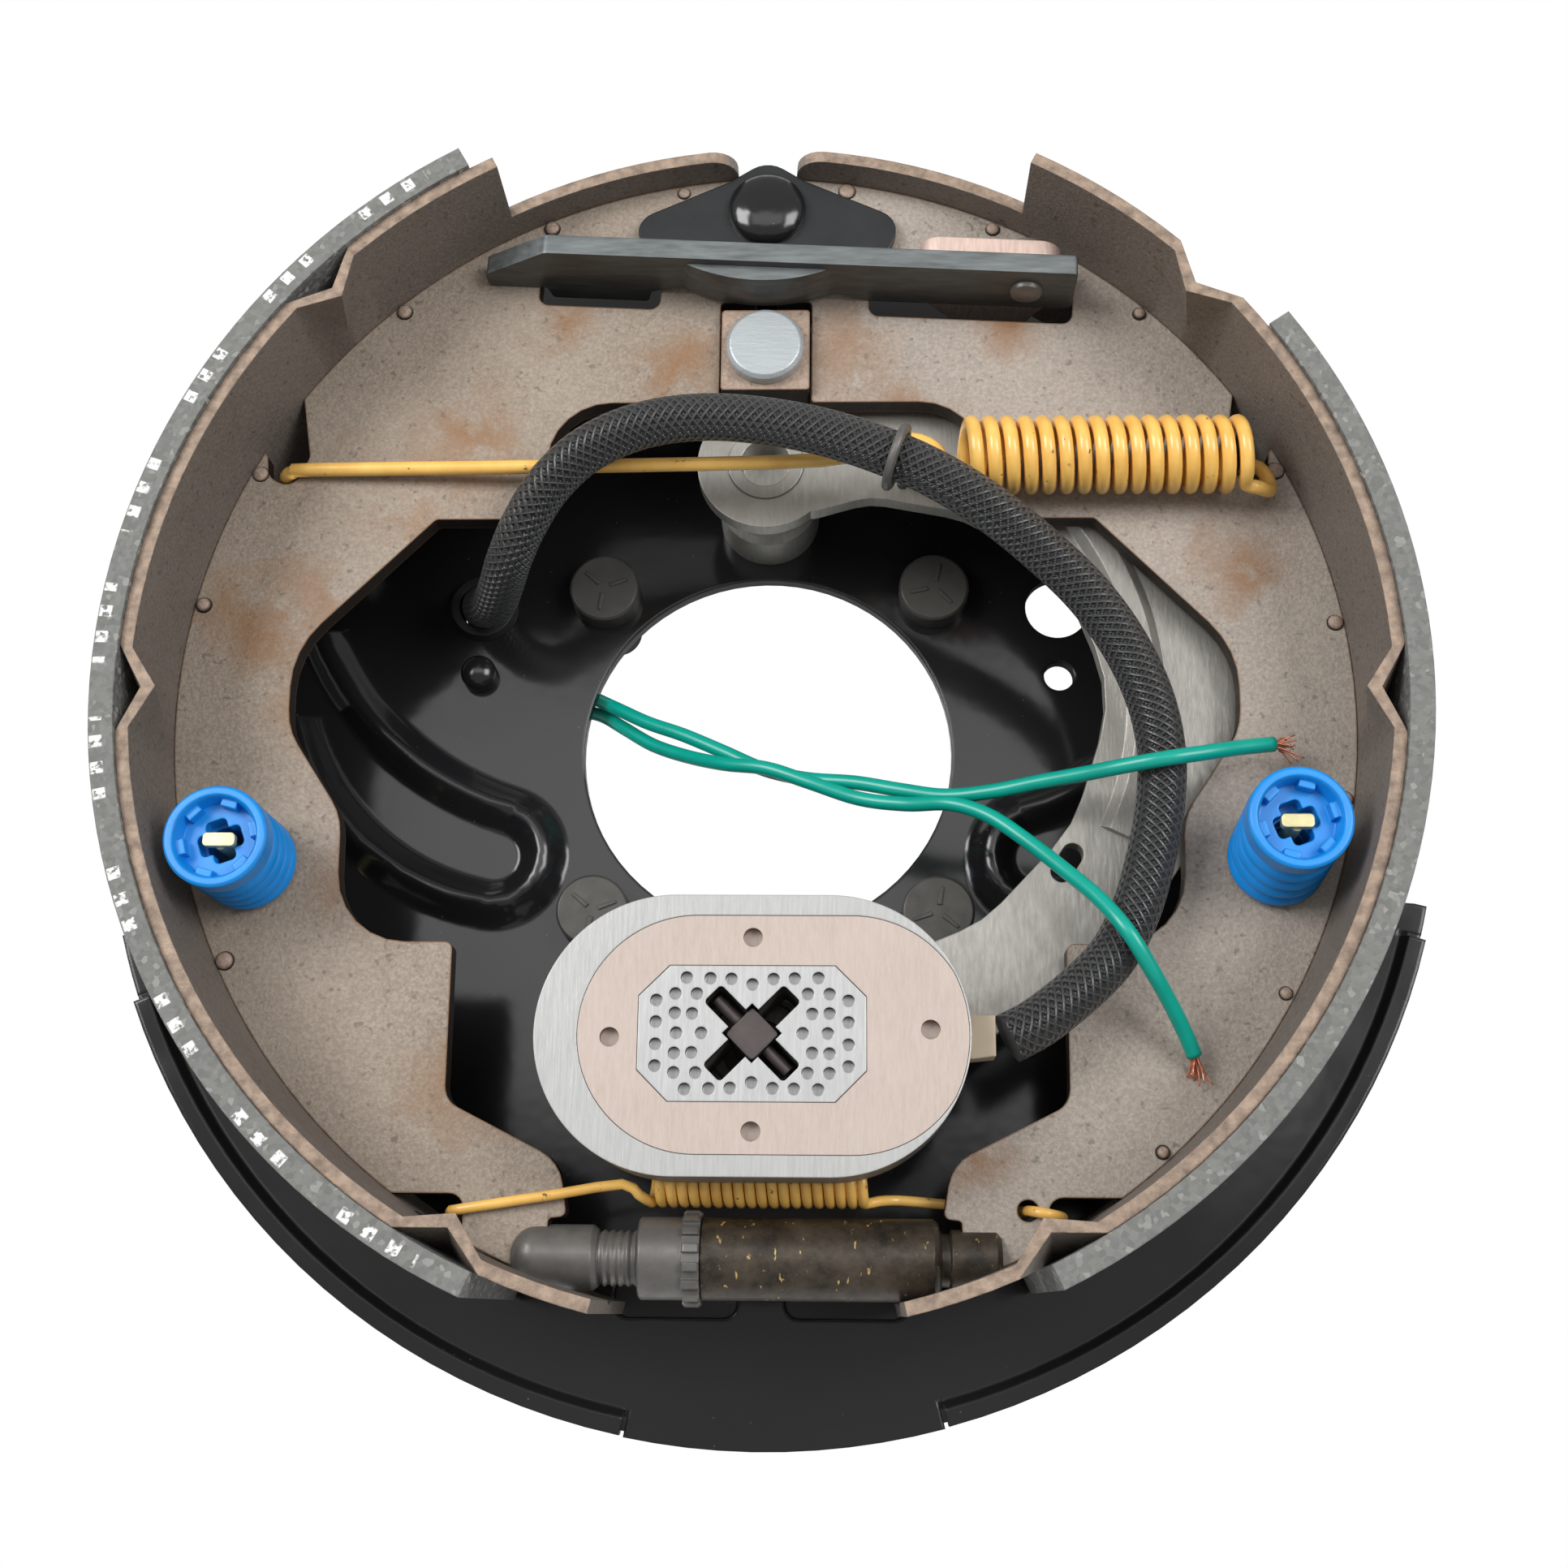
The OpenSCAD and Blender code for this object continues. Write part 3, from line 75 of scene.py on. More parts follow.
class Graph:
    """A short way to write a material's node tree."""

    def __init__(self, name):
        self.mat = bpy.data.materials.new(name)
        self.mat.use_nodes = True
        self.tree = self.mat.node_tree
        self.tree.nodes.clear()
        self.out = self.node("ShaderNodeOutputMaterial")
        self.bsdf = self.node("ShaderNodeBsdfPrincipled")
        self.link(self.bsdf.outputs[0], self.out.inputs["Surface"])
        self.geometry = self.node("ShaderNodeNewGeometry")
        self.place = self.node("ShaderNodeTexCoord").outputs["Object"]

    def node(self, kind, **values):
        made = self.tree.nodes.new(kind)
        for key, value in values.items():
            setattr(made, key, value)
        return made

    def link(self, a, b):
        self.tree.links.new(a, b)

    def put(self, value, socket):
        """Sets a socket from another socket, a colour or a number."""
        if isinstance(value, bpy.types.NodeSocket):
            self.link(value, socket)
        elif hasattr(value, "__len__"):
            socket.default_value = (*value, 1.0) if len(socket.default_value) == 4 else value
        else:
            socket.default_value = value

    def noise(self, scale, detail=3.0, rough=0.55, stretch=None):
        made = self.node("ShaderNodeTexNoise")
        made.inputs["Scale"].default_value = scale
        made.inputs["Detail"].default_value = detail
        made.inputs["Roughness"].default_value = rough
        source = self.place
        if stretch:
            mapping = self.node("ShaderNodeMapping")
            mapping.inputs["Scale"].default_value = stretch
            self.link(source, mapping.inputs["Vector"])
            source = mapping.outputs[0]
        self.link(source, made.inputs["Vector"])
        return made.outputs["Fac"]

    def cells(self, scale):
        """Cells with a colour and a distance each, for grains and specks."""
        made = self.node("ShaderNodeTexVoronoi")
        made.inputs["Scale"].default_value = scale
        self.link(self.place, made.inputs["Vector"])
        return made

    def ramp(self, value, low, high, from_value=0.0, to_value=1.0):
        """Maps low..high to from_value..to_value, held at both ends."""
        made = self.node("ShaderNodeMapRange", clamp=True)
        numbers = {"From Min": low, "From Max": high, "To Min": from_value, "To Max": to_value}
        for name, number in numbers.items():
            made.inputs[name].default_value = number
        self.put(value, made.inputs["Value"])
        return made.outputs["Result"]

    def math(self, operation, a, b=0.0):
        made = self.node("ShaderNodeMath", operation=operation)
        self.put(a, made.inputs[0])
        self.put(b, made.inputs[1])
        return made.outputs[0]

    def mix(self, factor, a, b):
        made = self.node("ShaderNodeMix", data_type="RGBA")
        self.put(factor, made.inputs["Factor"])
        self.put(a, made.inputs[6])
        self.put(b, made.inputs[7])
        return made.outputs[2]

    def axis(self, vector, index):
        made = self.node("ShaderNodeSeparateXYZ")
        self.link(vector, made.inputs[0])
        return made.outputs[index]

    def up(self):
        """1 on faces that look along +Z, 0 on walls."""
        return self.ramp(self.axis(self.geometry.outputs["Normal"], 2), 0.55, 0.85)

    def far_from(self, x, y):
        """Distance in metres from a point of the plate, given in millimetres."""
        px, py = self.axis(self.place, 0), self.axis(self.place, 1)
        dx = self.math("SUBTRACT", px, x * MM)
        dy = self.math("SUBTRACT", py, y * MM)
        squares = self.math("ADD", self.math("MULTIPLY", dx, dx), self.math("MULTIPLY", dy, dy))
        return self.math("SQRT", squares)

    def spot(self, x, y, radius):
        """1 near a point of the plate, fading out raggedly at radius."""
        far = self.far_from(x, y)
        ragged = 0.5 * radius * MM
        torn = self.ramp(self.noise(140.0, 4.0), 0.25, 0.75, -ragged, ragged)
        return self.ramp(self.math("ADD", far, torn), radius * MM, 0.35 * radius * MM)

    def bump(self, height, distance, strength=1.0, under=None):
        made = self.node("ShaderNodeBump")
        made.inputs["Distance"].default_value = distance
        made.inputs["Strength"].default_value = strength
        self.put(height, made.inputs["Height"])
        if under:
            self.link(under, made.inputs["Normal"])
        return made.outputs[0]

    def edge(self, radius):
        """Normals that look rounded along every edge by radius, in millimetres."""
        made = self.node("ShaderNodeBevel", samples=BEVEL_SAMPLES)
        made.inputs["Radius"].default_value = radius * MM
        return made.outputs[0]

    def rim(self, radius):
        """1 along sharp edges, where the rounded normal leaves the true one, and 0 elsewhere."""
        made = self.node("ShaderNodeVectorMath", operation="DOT_PRODUCT")
        self.link(self.edge(radius), made.inputs[0])
        self.link(self.geometry.outputs["Normal"], made.inputs[1])
        return self.ramp(made.outputs["Value"], 0.985, 0.93)

    def done(self, colour, rough, metal=0.0, normal=None, **others):
        """Fills in the surface and gives back the material."""
        self.put(colour, self.bsdf.inputs["Base Color"])
        self.put(rough, self.bsdf.inputs["Roughness"])
        self.put(metal, self.bsdf.inputs["Metallic"])
        if normal:
            self.link(normal, self.bsdf.inputs["Normal"])
        for name, value in others.items():
            self.put(value, self.bsdf.inputs[name.replace("_", " ")])
        return self.mat


def gloss_black():
    """Glossy black paint with a slight orange peel and specks of dust."""
    g = Graph("gloss_black")
    dust = g.ramp(g.cells(260.0).outputs["Distance"], 0.05, 0.03)
    far = g.ramp(g.noise(60.0, 2.0), 0.3, 0.7, 0.0, 1.0)
    colour = g.mix(g.math("MULTIPLY", dust, far), (0.012, 0.012, 0.013), (0.12, 0.12, 0.11))
    skin = g.bump(g.noise(90.0, 2.0), 0.0003, 0.25, g.edge(1.0))
    return g.done(colour, g.ramp(g.noise(40.0), 0.3, 0.7, 0.1, 0.17), normal=skin, Specular_IOR_Level=0.55)


def satin_black():
    """Dull black paint, with painted light that makes it a little paler on faces that look forward."""
    g = Graph("satin_black")
    # Painted light: faces that look forward get the paler black, the walls the darker one.
    colour = g.mix(g.up(), (0.012, 0.0125, 0.013), (0.02, 0.021, 0.022))
    skin = g.bump(g.noise(700.0, 3.0), 0.0001, 0.35, g.edge(0.5))
    return g.done(colour, g.ramp(g.noise(80.0), 0.3, 0.7, 0.28, 0.42), normal=skin)


def strut_steel():
    """Blued steel, streaked along the strut, with its walls darkened as painted shade."""
    g = Graph("strut_steel")
    streak = g.ramp(g.noise(120.0, 5.0, stretch=(1.0, 6.0, 6.0)), 0.3, 0.75)
    # Lit and shaded copies of the steel: top for faces that look forward, and the darker side for the walls
    # as painted shade.
    top = g.mix(streak, (0.12, 0.132, 0.135), (0.24, 0.26, 0.26))
    side = g.mix(streak, (0.06, 0.062, 0.06), (0.11, 0.112, 0.105))
    skin = g.bump(g.noise(500.0, 4.0), 0.0001, 0.4, g.edge(0.5))
    return g.done(g.mix(g.up(), side, top), 0.36, 0.35, skin)


# Middle and radius of each rust stain on the webs, in millimetres
RUST_SPOTS = (
    (16, 76, 15), (-18, 72, 14), (30, 62, 12), (-72, 48, 18), (-60, 62, 14), (-101, 18, 18), (-88, -2, 12),
    (56, -56, 12), (-56, -78, 14), (40, -88, 10), (96, 30, 14), (52, 84, 10), (-44, 84, 10), (-78, -40, 12),
)


def brown_steel(name, base, dark, rust_strength, edge_colour=None):
    """Bare steel with a thin brown bloom, sand-like grain and rust stains.

    With edge_colour, the faces that look forward are sheared edges of that colour. Without it, they are the
    sheet's broad face; its walls are darkened as painted shade, and its brown rims are part rust and part
    painted highlight.
    """
    g = Graph(name)
    cloud = g.ramp(g.noise(26.0, 5.0, 0.6), 0.3, 0.72)
    grain = g.ramp(g.noise(1300.0, 3.0, 0.75), 0.38, 0.64)
    colour = g.mix(cloud, base, dark)
    colour = g.mix(g.math("MULTIPLY", grain, 0.55), colour, [c * 1.5 for c in base])
    speck = g.ramp(g.noise(600.0, 1.0), 0.66, 0.74)
    colour = g.mix(g.math("MULTIPLY", speck, 0.5), colour, [c * 0.45 for c in dark])
    if rust_strength:
        rust = 0.0
        for x, y, radius in RUST_SPOTS:
            rust = g.math("MAXIMUM", rust, g.spot(x, y, radius))
        veins = g.ramp(g.noise(70.0, 6.0, 0.65), 0.38, 0.6)
        rust = g.math("MULTIPLY", g.math("MULTIPLY", rust, veins), rust_strength)
        colour = g.mix(rust, colour, (0.25, 0.125, 0.05))
    if edge_colour:
        flecks = g.ramp(g.noise(420.0, 4.0), 0.35, 0.7)
        bright = g.mix(flecks, edge_colour, [c * 0.45 for c in edge_colour])
        colour = g.mix(g.up(), colour, bright)
    else:
        # Painted shade: walls that do not look forward get a near-black brown.
        colour = g.mix(g.up(), (0.018, 0.012, 0.008), colour)
        # Brown line along sharp edges: part rust, part painted highlight.
        colour = g.mix(g.rim(0.7), colour, (0.2, 0.1, 0.045))
    skin = g.bump(grain, 0.00012, 0.5, g.edge(0.45))
    return g.done(colour, g.ramp(g.noise(300.0), 0.3, 0.7, 0.5, 0.66), 0.1, skin)


# The ticks lie between these radii, on the left lining's front edge, in metres
TICK_INNER, TICK_OUTER, TICK_FADE, TICK_RIGHT_X = 0.1226, 0.1252, 0.0003, -0.04
TICKS_PER_RADIAN, GROUPS_PER_RADIAN = 150.0, 29.0


def lining():
    """Moulded friction material with pale and dark grains, and plain white ticks along its front edge."""
    g = Graph("lining")
    grains = g.cells(1000.0)
    tone = g.ramp(g.axis(grains.outputs["Color"], 0), 0.0, 1.0)
    colour = g.mix(tone, (0.1, 0.1, 0.095), (0.19, 0.19, 0.18))
    pale = g.ramp(g.axis(grains.outputs["Color"], 1), 0.9, 0.96)
    colour = g.mix(g.math("MULTIPLY", pale, 0.6), colour, (0.42, 0.41, 0.38))
    up = g.up()
    # Painted light: faces that look forward are mixed towards the pale tone.
    colour = g.mix(g.math("MULTIPLY", up, 0.45), colour, (0.19, 0.19, 0.18))
    px, py = g.axis(g.place, 0), g.axis(g.place, 1)
    angle = g.math("ARCTAN2", py, px)
    radius = g.far_from(0, 0)
    dashes = g.ramp(g.math("SINE", g.math("MULTIPLY", angle, TICKS_PER_RADIAN)), 0.1, 0.3)
    gaps = g.ramp(g.math("SINE", g.math("MULTIPLY", angle, GROUPS_PER_RADIAN)), -0.35, -0.25)
    inside = g.ramp(radius, TICK_INNER, TICK_INNER + TICK_FADE)
    outside = g.ramp(radius, TICK_OUTER, TICK_OUTER - TICK_FADE)
    band = g.math("MULTIPLY", inside, outside)
    left = g.ramp(px, TICK_RIGHT_X, TICK_RIGHT_X - 0.005)
    rub = g.ramp(g.noise(900.0, 2.0), 0.38, 0.5)
    ink = g.math("MULTIPLY", g.math("MULTIPLY", dashes, gaps), g.math("MULTIPLY", band, left))
    ink = g.math("MULTIPLY", g.math("MULTIPLY", ink, up), rub)
    colour = g.mix(ink, colour, (0.8, 0.8, 0.78))
    skin = g.bump(g.noise(900.0, 3.0), 0.0003, 0.8, g.edge(0.4))
    return g.done(colour, 0.85, normal=skin)


def metal(name, base, rough=0.35, metallic=0.85, grain=None, dark=0.75, radius=0.4, dirt=None):
    """Bare or plated metal with fine streaks along grain and a little dirt."""
    g = Graph(name)
    streak = g.ramp(g.noise(260.0, 4.0, 0.6, stretch=grain), 0.3, 0.7)
    colour = g.mix(streak, base, [c * dark for c in base])
    if dirt:
        colour = g.mix(g.ramp(g.noise(90.0, 5.0, 0.65), 0.52, 0.75, 0.0, 0.7), colour, dirt)
    skin = g.bump(streak, 0.00006, 0.5, g.edge(radius))
    return g.done(colour, g.ramp(streak, 0.0, 1.0, rough * 0.8, rough * 1.2), metallic, skin)


def brushed_plate(name, face, side):
    """Zinc with a ground front face, and walls darkened as painted shade."""
    g = Graph(name)
    lines = g.ramp(g.noise(220.0, 4.0, 0.7, stretch=(9.0, 0.6, 1.0)), 0.3, 0.7)
    up = g.up()
    front = g.mix(lines, face, [c * 0.8 for c in face])
    cloud = g.ramp(g.noise(60.0, 4.0), 0.35, 0.7)
    # Painted shade: the walls take the dark side colour, with a cloudy tone.
    shaded_wall = g.mix(cloud, side, [c * 0.6 for c in side])
    skin = g.bump(lines, 0.00005, 0.5, g.edge(0.35))
    rough = g.ramp(up, 0.0, 1.0, 0.42, 0.33)
    metallic = g.ramp(up, 0.0, 1.0, 0.5, 0.25)
    return g.done(g.mix(up, shaded_wall, front), rough, metallic, skin)


def friction_face():
    """Pale moulded face of the magnet, ground along its length, with walls darkened as painted shade."""
    g = Graph("friction_face")
    lines = g.ramp(g.noise(260.0, 5.0, 0.7, stretch=(7.0, 1.0, 1.0)), 0.3, 0.7)
    colour = g.mix(lines, (0.5, 0.42, 0.37), (0.43, 0.35, 0.305))
    colour = g.mix(g.ramp(g.noise(45.0, 3.0), 0.45, 0.75, 0.0, 0.5), colour, (0.53, 0.435, 0.395))
    # Painted shade: walls that do not look forward are a dark brown.
    colour = g.mix(g.up(), (0.24, 0.15, 0.11), colour)
    return g.done(colour, 0.5, 0.1, g.bump(lines, 0.00004, 0.4, g.edge(0.2)))


def spring_paint():
    """Ochre paint, worn to dark specks."""
    g = Graph("spring_paint")
    cloud = g.ramp(g.noise(150.0, 4.0), 0.3, 0.7)
    colour = g.mix(cloud, (0.92, 0.56, 0.14), (0.76, 0.42, 0.09))
    chips = g.ramp(g.noise(500.0, 3.0), 0.68, 0.74)
    colour = g.mix(chips, colour, (0.09, 0.05, 0.02))
    return g.done(colour, 0.3, normal=g.bump(cloud, 0.0001, 0.3), Coat_Weight=0.25, Coat_Roughness=0.2)


def sleeve_brown():
    """Dark brown tube with a few gold flecks."""
    g = Graph("sleeve_brown")
    cloud = g.ramp(g.noise(200.0, 6.0, 0.7), 0.35, 0.7)
    colour = g.mix(cloud, (0.022, 0.017, 0.012), (0.085, 0.066, 0.046))
    turned = g.noise(1100.0, 3.0, stretch=(0.8, 0.35, 0.35))
    colour = g.mix(g.ramp(turned, 0.66, 0.72), colour, (0.55, 0.38, 0.13))
    return g.done(colour, 0.4, 0.3, g.bump(cloud, 0.0001, 0.5, g.edge(0.4)))


def plastic(name, base, rough=0.3, radius=0.5, glow=0.0):
    """Plain moulded or drawn material. glow is how much light passes through its skin."""
    g = Graph(name)
    cloud = g.ramp(g.noise(120.0, 3.0), 0.3, 0.7)
    colour = g.mix(cloud, base, [c * 0.86 for c in base])
    normal = g.edge(radius) if radius else None
    return g.done(colour, rough, normal=normal, Subsurface_Weight=glow, Subsurface_Scale=0.002)


def braid():
    """Crossed strands that follow the tube's own UV: u runs along it and v round it."""
    g = Graph("braid")
    uv = g.node("ShaderNodeTexCoord").outputs["UV"]
    u, v = g.axis(uv, 0), g.axis(uv, 1)
    strands_round, crossings_along = 12.0, 2.6
    along = g.math("MULTIPLY", u, 2 * math.pi * crossings_along)
    round_it = g.math("MULTIPLY", v, 2 * math.pi * strands_round)
    one = g.math("SINE", g.math("ADD", along, round_it))
    two = g.math("SINE", g.math("SUBTRACT", along, round_it))
    weave = g.math("MAXIMUM", one, two)
    threads = g.math("SINE", g.math("MULTIPLY", g.math("ADD", along, round_it), 3.0))
    height = g.math("ADD", weave, g.math("MULTIPLY", threads, 0.15))
    fuzz = g.noise(2500.0, 2.0)
    # The weave pattern, darker in its hollows between strands as painted shade.
    colour = g.mix(g.ramp(weave, 0.1, 1.0), (0.004, 0.004, 0.004), (0.028, 0.028, 0.028))
    colour = g.mix(g.ramp(fuzz, 0.56, 0.72, 0.0, 0.5), colour, (0.075, 0.075, 0.075))
    skin = g.bump(height, 0.0005, 0.9)
    return g.done(colour, 0.36, normal=skin, Sheen_Weight=0.1, Specular_IOR_Level=0.7)


MATERIALS = {
    "gloss_black": gloss_black(),
    "satin_black": satin_black(),
    "strut": strut_steel(),
    "web": brown_steel("web_steel", (0.29, 0.24, 0.192), (0.215, 0.17, 0.13), 1.0),
    "grey_web": brown_steel("grey_web_steel", (0.33, 0.285, 0.245), (0.25, 0.212, 0.178), 0.9),
    "table": brown_steel(
        "table_steel", (0.165, 0.14, 0.12), (0.115, 0.096, 0.082), 0.0, edge_colour=(0.37, 0.27, 0.2)),
    "block": brown_steel("block_steel", (0.36, 0.27, 0.21), (0.23, 0.17, 0.13), 0.0),
    "lining": lining(),
    "head": metal("head_steel", (0.075, 0.072, 0.064), 0.42, 0.3),
    "arm": metal("arm_steel", (0.4, 0.385, 0.35), 0.36, 0.5, (5.0, 1.0, 1.0), 0.78, 0.4, (0.27, 0.24, 0.21)),
    "adjuster": metal("adjuster_steel", (0.17, 0.162, 0.15), 0.4, 0.4, None, 0.7),
    "rivet": metal("bright_zinc", (0.52, 0.56, 0.575), 0.34, 0.4, (1.0, 6.0, 1.0), 0.82, 0.5),
    "pin": metal("pale_gold", (0.72, 0.66, 0.36), 0.35, 0.6),
    "post": metal("post_steel", (0.085, 0.07, 0.068), 0.34, 0.4),
    "pink": metal("pink_steel", (0.76, 0.57, 0.49), 0.45, 0.25, (6.0, 1.0, 1.0), 0.7),
    # The second colour of each plate is the painted shade of its walls.
    "case": brushed_plate("zinc_case", (0.47, 0.47, 0.46), (0.2, 0.19, 0.18)),
    "pole": brushed_plate("pole_steel", (0.5, 0.505, 0.5), (0.06, 0.06, 0.06)),
    "face": friction_face(),
    "spring": spring_paint(),
    "sleeve": sleeve_brown(),
    "blue": plastic("blue_plastic", (0.004, 0.26, 0.74), 0.32, 0.5, 0.08),
    "rubber": plastic("black_rubber", (0.015, 0.015, 0.015), 0.45),
    "teal": plastic("teal_cable", (0.0, 0.34, 0.26), 0.3, 0.0),
    "tape": plastic("paper_tape", (0.5, 0.41, 0.3), 0.8, 0.6),
    "copper": metal("bare_copper", (0.72, 0.27, 0.16), 0.3, 0.6, None, 0.8, 0.0),
    "braid": braid(),
}

LOOKS = {
    "backing_plate": "gloss_black",
    "mounting_studs": "head",
    "slot_plugs": "rubber",
    "anchor_post": "gloss_black",
    "guide_plate": "satin_black",
    "pivot_post": "arm",
    "stop_pin": "gloss_black",
    "conduit_grommet": "rubber",
    "conduit": "braid",
    "lead_upper": "teal",
    "lead_lower": "teal",
    "lead_ends": "copper",
    "secondary_web": "web",
    "secondary_table": "table",
    "secondary_lining": "lining",
    "primary_web": "grey_web",
    "primary_table": "table",
    "primary_lining": "lining",
    "adjuster_sleeve": "sleeve",
    "star_wheel": "adjuster",
    "adjuster_screw": "adjuster",
    "upper_spring": "spring",
    "lower_spring": "spring",
    "left_hold_pin": "pin",
    "right_hold_pin": "pin",
    "left_retainer": "blue",
    "right_retainer": "blue",
    "lever_arm": "arm",
    "cam_block": "block",
    "cam_rivet": "rivet",
    "magnet_post": "post",
    "magnet_clip": "post",
    "magnet_spring": "adjuster",
    "magnet_case": "case",
    "magnet_coil": "copper",
    "magnet_face": "face",
    "pole_plate": "pole",
    "lead_tape": "tape",
    "conduit_clip": "adjuster",
    "park_strut": "strut",
    "park_pin": "adjuster",
    "park_lever": "pink",
}

# Edges flatter than this are shaded round. The pressed beads of the plate turn more from face to face.
ROUND_DEG, PLATE_ROUND_DEG = 38.0, 50.0


def dress(obj, look):
    """Gives an object one of the materials above."""
    obj.data.materials.clear()
    obj.data.materials.append(MATERIALS[look])


def read(items, attribute, width=1, kind=float):
    """An array of one attribute of all the mesh's items."""
    values = np.empty(len(items) * width, kind)
    items.foreach_get(attribute, values)
    return values.reshape(-1, width) if width > 1 else values


def same(rows):
    """A number for each row, equal where the rows are equal."""
    _, numbers = np.unique(rows, axis=0, return_inverse=True)
    return numbers.ravel()


def soften(obj, angle_deg):
    """Shades a CAD mesh smoothly across edges flatter than angle_deg; its vertices stay as they are."""
    mesh = obj.data
    normal = read(mesh.polygons, "normal", 3)
    size = read(mesh.polygons, "loop_total", kind=int)
    face = np.repeat(np.arange(len(size)), size)
    # Coplanar faces count as one large one, so that flat ground keeps its own normal up to its edge
    offset = np.einsum("ij,ij->i", normal, read(mesh.polygons, "center", 3))
    plane = np.column_stack([np.round(normal * 2e3), np.round(offset * 2e5)]).astype(int)
    region = same(plane)
    area = np.bincount(region, weights=read(mesh.polygons, "area"))[region] ** 1.5
    # Corners at the same place are paired with each other, each one with itself too
    corner = read(mesh.loops, "vertex_index", kind=int)
    group = same(np.round(read(mesh.vertices, "co", 3)[corner] * 1e6).astype(int))
    order = np.argsort(group, kind="stable")
    start = np.searchsorted(group[order], np.arange(group.max() + 1))
    many = np.bincount(group)[group]
    one = np.repeat(np.arange(len(corner)), many)
    step = np.arange(len(one)) - np.repeat(np.cumsum(many) - many, many)
    other = order[start[group[one]] + step]
    # A corner's normal is the mean of its neighbours' that lean less than the angle from its own face
    near = np.einsum("ij,ij->i", normal[face[one]], normal[face[other]]) > math.cos(math.radians(angle_deg))
    total = np.zeros((len(corner), 3))
    np.add.at(total, one, (area[face[other]] * near)[:, None] * normal[face[other]])
    length = np.linalg.norm(total, axis=1)[:, None]
    total = np.where(length > 1e-15, total / np.maximum(length, 1e-15), normal[face])
    mesh.polygons.foreach_set("use_smooth", [True] * len(size))
    mesh.normals_split_custom_set(total.tolist())


for name, node in nodes.items():
    dress(node, LOOKS[name])
    soften(node, PLATE_ROUND_DEG if name == "backing_plate" else ROUND_DEG)

# swept pieces


def smooth_route(points, parts=6):
    """A Catmull-Rom curve through the points, in metres."""
    p = [Vector(q) * MM for q in points]
    p = [2 * p[0] - p[1], *p, 2 * p[-1] - p[-2]]
    line = []
    for i in range(1, len(p) - 2):
        for k in range(parts):
            t = k / parts
            line.append(
                0.5 * (2 * p[i] + (p[i + 1] - p[i - 1]) * t
                       + (2 * p[i - 1] - 5 * p[i] + 4 * p[i + 1] - p[i + 2]) * t * t
                       + (3 * p[i] - p[i - 1] - 3 * p[i + 1] + p[i + 2]) * t * t * t))
    return line + [p[-2]]


def tube_parts(line, radius, sides=16, first=(0, 0, 1)):
    """Corners, faces and UV of a round bar: u runs along it in radii and v round it."""
    n = len(line)
    heading = [(line[min(i + 1, n - 1)] - line[max(i - 1, 0)]).normalized() for i in range(n)]
    side, run = Vector(first), 0.0
    verts, faces, along = [], [], []
    for i, centre in enumerate(line):
        side = (side - heading[i] * side.dot(heading[i])).normalized()
        out = heading[i].cross(side)
        run += (line[i] - line[i - 1]).length if i else 0.0
        along.append(run / radius)
        for k in range(sides):
            a = 2 * math.pi * k / sides
            verts.append(centre + (side * math.cos(a) + out * math.sin(a)) * radius)
    uvs = []
    for i in range(n - 1):
        for k in range(sides):
            j = (k + 1) % sides
            faces.append((i * sides + k, i * sides + j, (i + 1) * sides + j, (i + 1) * sides + k))
            u, v, w = (along[i], along[i + 1]), k / sides, (k + 1) / sides
            uvs += [(u[0], v), (u[0], w), (u[1], w), (u[1], v)]
    for end in (tuple(range(sides - 1, -1, -1)), tuple((n - 1) * sides + k for k in range(sides))):
        faces.append(end)
        uvs += [(0.0, 0.0)] * sides
    return verts, faces, uvs


def make(name, parts, look):
    """One object from a list of (corners, faces, uvs), shaded smooth apart from many-sided ends."""
    verts, faces, uvs = [], [], []
    for part_verts, part_faces, part_uvs in parts:
        base = len(verts)
        verts += [tuple(v) for v in part_verts]
        faces += [tuple(i + base for i in face) for face in part_faces]
        uvs += part_uvs
    mesh = bpy.data.meshes.new(name)
    mesh.from_pydata(verts, [], faces)
    layer = mesh.uv_layers.new(name="UVMap")
    for loop, place in enumerate(uvs):
        layer.data[loop].uv = place
    for polygon in mesh.polygons:
        polygon.use_smooth = polygon.loop_total < 5
    mesh.update()
    obj = bpy.data.objects.new(name, mesh)
    bpy.context.scene.collection.objects.link(obj)
    dress(obj, look)
    return obj


def tube(name, line, radius, look, sides=16, first=(0, 0, 1)):
    """A round bar of one material along a line."""
    return make(name, [tube_parts(line, radius, sides, first)], look)


def coil(x0, x1, y, z, r, turns, steps):
    """Points of a coil along X, with so many steps to a turn, which starts on its side towards -Y."""
    points = []
    for i in range(turns * steps + 1):
        a = math.pi + 2 * math.pi * i / steps
        points.append((x0 + (x1 - x0) * i / (turns * steps), y + r * math.cos(a), z + r * math.sin(a)))
    return points


